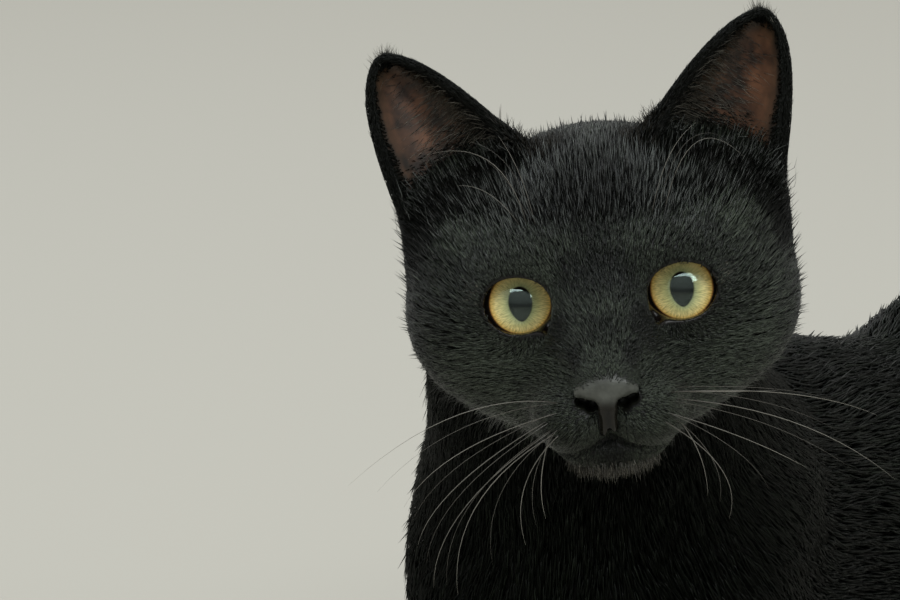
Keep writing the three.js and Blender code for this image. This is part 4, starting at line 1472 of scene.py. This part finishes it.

# %% [markdown]
# Between the ears the hair is longer and stands up in spikes, whose tips catch the light; their pale
# grey is painted sheen. They are leaves like the locks, but thinner, because a tube would have four
# times their faces.

# %% Spiky hairs of the forehead
forehead = skin_shares["head"] * ramp(hz, 9, 24) * ramp(-hz, -46, -38) * ramp(-hy, -32, -22)
spikes = planted_where(forehead * (1 - skin_ear) * (1 - 0.85 * ear_base), 1.2)
lift = random.uniform(0.3, 0.75, len(spikes.place))[:, None]
way = unit(spikes.read(skin_ways) + spikes.normal * lift + random.normal(0, 0.1, spikes.place.shape))
near_edge = spikes.read(np.maximum(ramp(-hz, -24, -9), ramp(hz, 32, 40)))
size = random.uniform(5, 10, len(way)) * (1 - 0.5 * near_edge)
# Mostly pale, as painted sheen, and then shifted by the painted light and shade of the face.
spikes.shade = random.beta(1.8, 0.9, len(way))
paint_light_and_shade(spikes)
width = random.uniform(0.16, 0.24, len(way))
tips = spikes.place + way * size[:, None]
middle = lift[:, 0] * size * LEAF_MIDDLE + 1
spike_values = (spikes.place, spikes.normal, tips, width, middle, spikes.uv, spikes.shade)
spiky = leaves("forehead_spikes", *spike_values)
print("forehead spikes:", len(spiky.data.polygons), "triangles")

# %% [markdown]
# ## Whiskers
# Whiskers are stiff tapering bristles, about 0.3 mm thick at the root and up to 60 mm long. They
# grow in rows on the pads beside the nose and in a small group over each eye. Each is drawn by
# three points as a visitor standing before the face sees them, across and up in mm from between the
# eyes. Fainter ones fill in between neighbours.

# %% Whiskers
# How far a visitor stands to the cat's left and up, for each mm of distance.
VISITOR_ASIDE, VISITOR_LIFT = 0.035, 0.155
LEFT_WHISKERS = (
    ((14, -25.3), (43.7, -28.4), (65, -36)),
    ((16, -25.4), (30, -26.6), (41, -27.5)),
    ((15.5, -27), (45, -36), (68, -52.5)),
    ((13, -30), (31, -38), (46, -47)),
    ((11.5, -31.5), (25, -45), (26, -58)),
    ((16.5, -33), (20.5, -42), (21.5, -52)),
)
RIGHT_WHISKERS = (
    ((-13, -25.4), (-39, -26.5), (-67, -41.6)),
    ((-12, -27.6), (-38, -35.5), (-53.5, -48)),
    ((-15.5, -29.3), (-40, -44), (-51.3, -58.5)),
    ((-15, -32), (-39, -50), (-48.3, -69)),
    ((-13.5, -32.4), (-35, -48.5), (-42.5, -71)),
    ((-12.5, -32.5), (-23, -45), (-24.4, -60)),
    ((-15.5, -33), (-18.9, -44), (-18.8, -54)),
)
LEFT_BROW_WHISKERS = (((14.5, 19), (20, 33), (27.5, 41)), ((17.5, 19), (27, 36), (38.7, 31.4)))
RIGHT_BROW_WHISKERS = (
    ((-16.5, 19), (-24, 36), (-39.5, 39.5)),
    ((-14.5, 19), (-17, 32), (-21.5, 42.5)),
    ((-18, 19), (-25, 28), (-33, 31)),
)
WHISKER_STEPS, WHISKER_SIDES = 14, 5
WHISKER_RADIUS, BROW_RADIUS = 0.135, 0.09
WHISKER_LEAN, BROW_LEAN = 0.12, 0.1  # how far a tip leans back, of the whisker's length
WHISKER_BOW = 0.12  # four times how far its middle bows forward, of the whisker's length
WHISKER_ROOT_DEPTH = 0.5
STRONG_SHADE, FAINT_SHADE, FAINT_THICKNESS = 0.9, 0.35, 0.6
FAINT_SHIFT = (0.4, 1.1)  # mm across and up


def front_of_skin(across, up):
    """The depth, in the head's frame, at which a visitor's line of sight meets the skin."""
    depth = np.arange(-45, 15, 0.4)
    seen = np.stack([across - VISITOR_ASIDE * depth, depth, up - VISITOR_LIFT * depth], 1)
    return depth[np.argmax(head_outline(seen) < -0.5)]


def whisker_lines(marks, back):
    """Smooth lines through the marks of each whisker, leaning back by a share of its length."""
    lines = []
    for root, middle, tip in np.array(marks, float):
        t = np.linspace(0, 1, WHISKER_STEPS)[:, None]
        control = 2 * middle - (root + tip) / 2
        flat = root * (1 - t) ** 2 + control * 2 * t * (1 - t) + tip * t * t
        reach = np.linalg.norm(tip - root)
        bow = WHISKER_BOW * t[:, 0] * (1 - t[:, 0])
        depth = front_of_skin(*root) + WHISKER_ROOT_DEPTH + (t[:, 0] ** 2 * back - bow) * reach
        across, up = flat.T
        seen = np.stack([across - VISITOR_ASIDE * depth, depth, up - VISITOR_LIFT * depth], 1)
        lines.append(from_head(seen))
    return np.array(lines)


def with_fainter(marks):
    """The whiskers, and fainter ones about halfway between neighbours."""
    marks = np.array(marks, float)
    return np.concatenate([marks, (marks[1:] + marks[:-1]) / 2 + FAINT_SHIFT])


def whisker_piece(name, marks, back, radius):
    """Tapering whiskers of one group; the fainter ones are thinner and darker."""
    lines = whisker_lines(marks, back)
    count = len(lines)
    taper = radius * (1 - 0.9 * np.linspace(0, 1, WHISKER_STEPS) ** 1.3)
    strong = np.arange(count) < (count + 1) // 2
    thick = np.where(strong, 1, FAINT_THICKNESS)[:, None]
    shade = np.where(strong, STRONG_SHADE, FAINT_SHADE) + random.uniform(-0.1, 0.1, count)
    return tubes(name, lines, taper * thick, np.zeros((count, 2)), shade, WHISKER_SIDES)


whiskers = [
    whisker_piece("whiskers_left", with_fainter(LEFT_WHISKERS), WHISKER_LEAN, WHISKER_RADIUS),
    whisker_piece("whiskers_right", with_fainter(RIGHT_WHISKERS), WHISKER_LEAN, WHISKER_RADIUS),
    whisker_piece("brow_whiskers_left", with_fainter(LEFT_BROW_WHISKERS), BROW_LEAN, BROW_RADIUS),
    whisker_piece("brow_whiskers_right", with_fainter(RIGHT_BROW_WHISKERS), BROW_LEAN, BROW_RADIUS),
]
for thing in whiskers:
    thing.data.uv_layers.remove(thing.data.uv_layers["OFBake"])
print("whiskers:", [len(thing.data.polygons) for thing in whiskers], "triangles")

# %% [markdown]
# ## Finishes
# Black fur is not flat black. Each hair is dark brown to black under a smooth, clear cuticle, so
# its colour stays near black while it mirrors soft light in fine streaks. The skin under it is dark
# too.

# %% Helpers for materials
RELIEF = 0.2 * MM  # height of the finest relief: leather grain, iris fibres and the hairs of a lock
COLOUR_MIX = dict(data_type="RGBA")
COLOUR_PRODUCT = dict(data_type="RGBA", blend_type="MULTIPLY")


def new_material(name):
    """A material with its node tree and its shader."""
    material = bpy.data.materials.new(name)
    material.use_nodes = True
    return material, material.node_tree, material.node_tree.nodes["Principled BSDF"]


def set_values(shader, **values):
    """Sets a shader's plain values, and links the values that are sockets."""
    for name, value in values.items():
        socket = shader.inputs[name.replace("_", " ")]
        if isinstance(value, bpy.types.NodeSocket):
            socket.id_data.links.new(value, socket)
        else:
            socket.default_value = value


# %% [markdown]
# The skin is dark under the coat, slate grey on the nose, and brown with some rose in the thin cups
# of the ears. The grey of the nose leather is partly its own and partly painted sheen. It has a fine
# pebbled grain and is moist, as the rims of the lids are, so they are the glossiest. Each kind of
# skin is mixed in by the share that was stored for it, so one material serves the whole skin.

# %% Skin
BLOTCH, MOTTLE, PEBBLE = 6.25, 2, 1 / 2.6  # sizes of the patterns in the skin, in mm


def skin_material():
    """Skin of a black cat, with the leather of its nose and the cups of its ears."""
    material, tree, shader = new_material("black cat skin")
    place = add_node(tree, "ShaderNodeTexCoord").outputs["Object"]
    uneven = add_node(
        tree, "ShaderNodeTexNoise", None, Vector=place, Scale=1 / (BLOTCH * MM), Detail=3.0
    ).outputs["Fac"]
    blotches = add_node(
        tree, "ShaderNodeMapRange", None, Value=uneven, From_Min=0.35, From_Max=0.68
    ).outputs[0]
    fine = add_node(
        tree, "ShaderNodeTexNoise", None, Vector=place, Scale=1 / (MOTTLE * MM), Detail=2.0
    ).outputs["Fac"]
    base = add_node(
        tree, "ShaderNodeMix", COLOUR_MIX, _0=fine, _6=colour("#060706"), _7=colour("#0e0f0d")
    ).outputs[2]
    kinds = dict(
        ear=(blotches, "#1e1811", "#382c20"),
        ear_pink=(blotches, "#1f140d", "#64432f"),
        # The leather's grey is partly its own slate and partly painted sheen.
        leather=(fine, "#343632", "#5c5e59"),
        column=(fine, "#0e0d0a", "#1c1a14"),
        lip=(fine, "#060706", "#0c0b09"),
        wet=(fine, "#080504", "#100a08"),
        hole=(fine, "#0c0d0a", "#16170f"),
    )
    for name, (pattern, dark, light) in kinds.items():
        tint = add_node(
            tree, "ShaderNodeMix", COLOUR_MIX, _0=pattern, _6=colour(dark), _7=colour(light)
        ).outputs[2]
        share = add_node(tree, "ShaderNodeAttribute", dict(attribute_name=name)).outputs["Fac"]
        base = add_node(tree, "ShaderNodeMix", COLOUR_MIX, _0=share, _6=base, _7=tint).outputs[2]
    pebbles = add_node(
        tree, "ShaderNodeTexVoronoi", None, Vector=place, Scale=1 / (PEBBLE * MM)
    ).outputs["Distance"]
    leather = add_node(tree, "ShaderNodeAttribute", dict(attribute_name="leather")).outputs["Fac"]
    strength = add_node(
        tree, "ShaderNodeMath", dict(operation="MULTIPLY"), _0=leather, _1=0.12
    ).outputs[0]
    bump = add_node(
        tree, "ShaderNodeBump", None, Height=pebbles, Strength=strength, Distance=RELIEF
    ).outputs["Normal"]
    wet = add_node(tree, "ShaderNodeAttribute", dict(attribute_name="wet")).outputs["Fac"]
    moist = add_node(tree, "ShaderNodeMath", dict(operation="MAXIMUM"), _0=leather, _1=wet).outputs[0]
    roughness = add_node(
        tree, "ShaderNodeMapRange", None, Value=moist, To_Min=0.42, To_Max=0.27
    ).outputs[0]
    set_values(shader, Base_Color=base, Normal=bump, Roughness=roughness, Specular_IOR_Level=0.25)
    return material


# %% [markdown]
# A gold iris is paler and greener round the pupil, gold towards its rim and brown at the rim
# itself, and fine fibres run across it. The marks on the eyeball's rings say how far out a point
# is, so a ramp of colours follows the oval pupil as well as the round rim.

# %% Iris and eyeball
def eyeball_material():
    """An iris of a gold-eyed cat: pale gold fibres, greener round the pupil, with a brown rim."""
    material, tree, shader = new_material("iris and eyeball")
    ring_value = add_node(tree, "ShaderNodeAttribute", dict(attribute_name="ring")).outputs["Fac"]
    spoke_x = add_node(tree, "ShaderNodeAttribute", dict(attribute_name="spoke_x")).outputs["Fac"]
    spoke_z = add_node(tree, "ShaderNodeAttribute", dict(attribute_name="spoke_z")).outputs["Fac"]
    drawn_out = add_node(
        tree, "ShaderNodeMath", dict(operation="MULTIPLY"), _0=ring_value, _1=0.12
    ).outputs[0]
    place = add_node(tree, "ShaderNodeCombineXYZ", None, X=spoke_x, Y=spoke_z, Z=drawn_out).outputs[0]
    share = add_node(tree, "ShaderNodeMath", dict(operation="DIVIDE"), _0=ring_value, _1=3.0).outputs[0]
    iris = add_node(tree, "ShaderNodeValToRGB", None, Fac=share)
    stops = (
        (0.332, "#010101"),
        (0.336, "#525236"),
        (0.36, "#a4ab7c"),
        (0.44, "#cdc98c"),
        (0.56, "#f4e09a"),
        (0.63, "#f6d078"),
        (0.655, "#9c6a34"),
        (0.668, "#1b120c"),
        (0.75, "#15100d"),
        (0.8, "#1d1512"),
    )
    while len(iris.color_ramp.elements) < len(stops):
        iris.color_ramp.elements.new(0.5)
    for element, (stop, hex_value) in zip(iris.color_ramp.elements, stops):
        element.position, element.color = stop, colour(hex_value)
    # An iris with a radius of 8 mm has fibres about 0.27 mm wide, so 30 of them cross its radius.
    fibres = add_node(
        tree, "ShaderNodeTexNoise", None, Vector=place, Scale=30.0, Detail=5.0
    ).outputs["Fac"]
    fleck = add_node(
        tree, "ShaderNodeMapRange", None, Value=fibres, From_Min=0.3, From_Max=0.62
    ).outputs[0]
    light = add_node(
        tree, "ShaderNodeMix", COLOUR_MIX, _0=fleck, _6=colour("#8a9078"), _7=colour("#ffffff")
    ).outputs[2]
    both = add_node(
        tree, "ShaderNodeMix", COLOUR_PRODUCT, _0=0.75, _6=iris.outputs["Color"], _7=light
    ).outputs[2]
    bump = add_node(
        tree, "ShaderNodeBump", None, Height=fibres, Strength=0.3, Distance=RELIEF
    ).outputs["Normal"]
    set_values(shader, Base_Color=both, Normal=bump, Roughness=0.6, Specular_IOR_Level=0.1)
    return material


# %% [markdown]
# Each lock is darker towards its root, and the hair carries a clear gloss. Each lock has its own
# shade, from black to grey, and most are near black, which a power of the shade gives. The gloss is
# stronger on the short smooth hair of the head than on the body. The long hairs and whiskers are the
# same material in browner and paler colours.

# %% Fur
def fur_material(name, root, dark, light, roughness, specular, steepness):
    """Hairs with a clear smooth cuticle. Streaks divide each lock in a few hairs."""
    material, tree, shader = new_material(name)
    along = add_node(tree, "ShaderNodeAttribute", dict(attribute_name="along")).outputs["Fac"]
    shade = add_node(tree, "ShaderNodeAttribute", dict(attribute_name="shade")).outputs["Fac"]
    strand = add_node(tree, "ShaderNodeAttribute", dict(attribute_name="strand")).outputs["Vector"]
    streaks = add_node(
        tree, "ShaderNodeTexNoise", None, Vector=strand, Scale=1.0, Detail=1.0
    ).outputs["Fac"]
    steep = add_node(tree, "ShaderNodeMath", dict(operation="POWER"), _0=shade, _1=steepness).outputs[0]
    hair = add_node(
        tree, "ShaderNodeMix", COLOUR_MIX, _0=steep, _6=colour(dark), _7=colour(light)
    ).outputs[2]
    streaky = add_node(
        tree, "ShaderNodeMix", COLOUR_MIX, _0=streaks, _6=colour(root), _7=hair
    ).outputs[2]
    base = add_node(tree, "ShaderNodeMix", COLOUR_MIX, _0=along, _6=colour(root), _7=streaky).outputs[2]
    bump = add_node(
        tree, "ShaderNodeBump", None, Height=streaks, Strength=0.6, Distance=RELIEF
    ).outputs["Normal"]
    set_values(shader, Base_Color=base, Normal=bump, Roughness=roughness, Specular_IOR_Level=specular)
    return material


# %% [markdown]
# A wet cornea is clear, so light passes straight through it, and it mirrors a small share that
# grows towards its edge. Real glass would bend the light as well, but it would also darken the iris
# behind it.

# %% Cornea
def cornea_material():
    """Clear wet cornea: see-through, with a mirror that grows towards the edge."""
    material, tree, shader = new_material("clear cornea")
    tree.nodes.remove(shader)
    glass = add_node(tree, "ShaderNodeBsdfTransparent").outputs[0]
    mirror = add_node(
        tree, "ShaderNodeBsdfGlossy", None, Color=colour("#d8f0e8"), Roughness=0.02
    ).outputs[0]
    edge_on = add_node(tree, "ShaderNodeLayerWeight", None, Blend=0.5).outputs["Facing"]
    steep = add_node(tree, "ShaderNodeMath", dict(operation="POWER"), _0=edge_on, _1=5.0).outputs[0]
    share = add_node(tree, "ShaderNodeMapRange", None, Value=steep, To_Min=0.065, To_Max=1.0).outputs[0]
    both = add_node(tree, "ShaderNodeMixShader", None, _0=share, _1=glass, _2=mirror).outputs[0]
    tree.links.new(both, tree.nodes["Material Output"].inputs["Surface"])
    return material


# %% Give each piece its finish
head_locks = [thing for thing in coat if thing.name.startswith("coat_head")]
ear_locks = [thing for thing in coat if thing.name.startswith("coat_ears")]
body_locks = [thing for thing in coat if thing not in head_locks + ear_locks]
# Name, colours at the root, of dark and of light hairs, roughness, specular level and steepness.
FURS = (
    (head_locks, "short black fur of the head", "#040604", "#0b0f0a", "#84907d", 0.32, 0.32, 2.6),
    # The dark fur of the ears also paints shade at their feet and on the top of the brow.
    (ear_locks, "dark fur of the ears", "#030402", "#060805", "#20251e", 0.36, 0.14, 2.0),
    (body_locks, "black fur of the body", "#020402", "#040704", "#343b31", 0.34, 0.1, 3.0),
    # The grey of the forehead hairs is painted sheen.
    ([spiky], "grey-tipped forehead hairs", "#070907", "#0f120e", "#8b928b", 0.34, 0.45, 2.0),
    (long_hairs, "long brown-grey hairs", "#14120d", "#24211a", "#d0cab8", 0.4, 0.4, 2.0),
    (whiskers, "whiskers", "#3f3c36", "#76726a", "#cfcbbf", 0.35, 0.5, 2.0),
)
finishes = [([skin], skin_material()), (eyeballs, eyeball_material()), (corneas, cornea_material())]
finishes += [(things, fur_material(*values)) for things, *values in FURS]
for things, finish in finishes:
    for thing in things:
        thing.data.materials.append(finish)
print("finishes:", [finish.name for _, finish in finishes])

# %% [markdown]
# ## Joining the frame
# Nothing on this model moves, so every piece rides on its one body. The skin stands for all the
# solids of flesh, and the eyeballs stand for those of the eyes. The replaced solids are hidden and
# stay for collision.

# %% Join the pieces to the frame
EYE_NODES = ("eye_left", "eye_right")
slots = dict(coat=[skin, *coat, spiky, *long_hairs], eye=[*eyeballs, *corneas], whisker=whiskers)
for slot, things in slots.items():
    for thing in things:
        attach(thing, "root")
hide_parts(*(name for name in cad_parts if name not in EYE_NODES))
for thing, node in zip(eyeballs, EYE_NODES):
    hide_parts(node)
print("pieces:", {slot: len(things) for slot, things in slots.items()})

# %% [markdown]
# ## Camera and floor
# A long lens from a metre away shows the face in its true proportions, where a short one would draw
# the nose out. The floor is pale and matt, so that the black coat stands out.

# %% Camera and floor
CAMERA_TURN, CAMERA_LIFT = 28, 13  # degrees: round to the cat's left, and up
CAMERA_DISTANCE, CAMERA_LENS = 1.0, 160.0  # m and mm
AIM_LEFT_OF_EYES, AIM_BELOW_EYES = 0.0377, 0.001  # m


def way_to(azimuth, elevation):
    """A direction given in degrees; azimuth 0 is straight before the body."""
    a, e = np.radians((azimuth, elevation))
    return np.array((np.sin(a) * np.cos(e), -np.cos(a) * np.cos(e), np.sin(e)))


between_eyes = (HEAD_ORIGIN + SHIFT) * MM
to_camera = way_to(CAMERA_TURN, CAMERA_LIFT)
turn = np.radians(CAMERA_TURN)
right = np.array((np.cos(turn), np.sin(turn), 0))
aim = between_eyes - right * AIM_LEFT_OF_EYES - np.array((0, 0, AIM_BELOW_EYES))
camera_data = bpy.data.cameras.new("camera")
camera_data.lens = CAMERA_LENS
camera = bpy.data.objects.new("camera", camera_data)
bpy.context.scene.collection.objects.link(camera)
camera.location = aim + to_camera * CAMERA_DISTANCE
camera.rotation_euler = Vector(-to_camera).to_track_quat("-Z", "Y").to_euler()
bpy.context.scene.camera = camera

FLOOR_RADIUS, FLOOR_SPOKES = 9000, 128  # mm, and corners of its edge
floor_angles = np.linspace(0, 2 * np.pi, FLOOR_SPOKES, endpoint=False)
floor_ring = np.stack([np.cos(floor_angles), np.sin(floor_angles), 0 * floor_angles], 1) * FLOOR_RADIUS
floor_faces = [(0, 1 + i, 1 + (i + 1) % FLOOR_SPOKES) for i in range(FLOOR_SPOKES)]
floor = mesh_object("floor", np.vstack([[(0, 0, 0)], floor_ring]), floor_faces)
floor_finish, tree, shader = new_material("matt studio floor")
set_values(shader, Base_Color=colour("#b4b1a8"), Roughness=0.9, Specular_IOR_Level=0.1)
floor.data.materials.append(floor_finish)
floor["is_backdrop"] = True
print("camera at", camera.location.to_tuple(3))

# %% [markdown]
# ## Light
# The light is an even grey sky. A wide bright opening over the camera gives the coat its long
# streaks, and a smaller one at the side rounds the head. The sky is brighter overhead than near the
# horizon, and a dark band stands before the cat like a row of trees, so that the eyes have
# something to mirror.

# %% Light
HORIZON, OVERHEAD, TREES = 0.5, 1.1, 0.3  # strengths of the sky's parts


def soft_light(name, place, aim_at, size, power, tint):
    """A rectangular light of `size` metres and `power` watts that faces a point."""
    data = bpy.data.lights.new(name, "AREA")
    data.shape, data.size, data.size_y = "RECTANGLE", *size
    data.energy, data.color = power, colour(tint)[:3]
    thing = bpy.data.objects.new(name, data)
    thing.location = place
    thing.rotation_euler = (Vector(aim_at) - Vector(place)).to_track_quat("-Z", "Y").to_euler()
    bpy.context.scene.collection.objects.link(thing)


def over_head(azimuth, elevation, distance):
    """A place given by its direction from the head and its distance in metres."""
    return tuple(between_eyes + way_to(azimuth, elevation) * distance)


world = bpy.data.worlds.new("overcast sky")
bpy.context.scene.world = world
world.use_nodes = True
tree = world.node_tree
background = tree.nodes["Background"]
direction = add_node(tree, "ShaderNodeTexCoord").outputs["Generated"]
height = add_node(tree, "ShaderNodeSeparateXYZ", None, Vector=direction).outputs["Z"]
sky = add_node(
    tree,
    "ShaderNodeMapRange",
    None,
    Value=height,
    From_Min=0.05,
    From_Max=0.9,
    To_Min=HORIZON,
    To_Max=OVERHEAD,
).outputs[0]
ahead_dot = add_node(
    tree, "ShaderNodeVectorMath", dict(operation="DOT_PRODUCT"), _0=direction, _1=tuple(to_camera)
).outputs["Value"]
ahead = add_node(
    tree, "ShaderNodeMapRange", None, Value=ahead_dot, From_Min=0.55, From_Max=0.85
).outputs[0]
low_down = add_node(
    tree, "ShaderNodeMapRange", None, Value=height, From_Min=0.22, From_Max=0.1
).outputs[0]
trees = add_node(tree, "ShaderNodeMath", dict(operation="MULTIPLY"), _0=ahead, _1=low_down).outputs[0]
strength = add_node(tree, "ShaderNodeMix", None, _0=trees, _2=sky, _3=TREES).outputs[0]
background.inputs["Color"].default_value = colour("#f1f2ef")
tree.links.new(strength, background.inputs["Strength"])

HEAD_SPOT = tuple(between_eyes)
soft_light("sky_opening", over_head(CAMERA_TURN, 53, 2.0), HEAD_SPOT, (2.4, 0.36), 18, "#f2f6f8")
soft_light("side_window", over_head(70, 35, 1.6), HEAD_SPOT, (0.4, 0.4), 5, "#f4f9f7")
soft_light("high_sky", over_head(235, 55, 2.2), HEAD_SPOT, (2.0, 1.2), 15, "#e6f0fa")
bpy.context.scene.view_settings.view_transform = "Standard"
print("lights:", len(bpy.data.lights))

# %% [markdown]
# ## Sizes
# The box of the visual model is printed beside the box of the solids. The two are nearly the same,
# because the solids reach to the tips of the hair and only a few hairs and whiskers stand proud of
# them.

# %% Print both boxes
bounds = {"cad": cad_box, "visual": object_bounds()}
{name: [list(map(float, corner)) for corner in box] for name, box in bounds.items()}
print("boxes:", bounds)
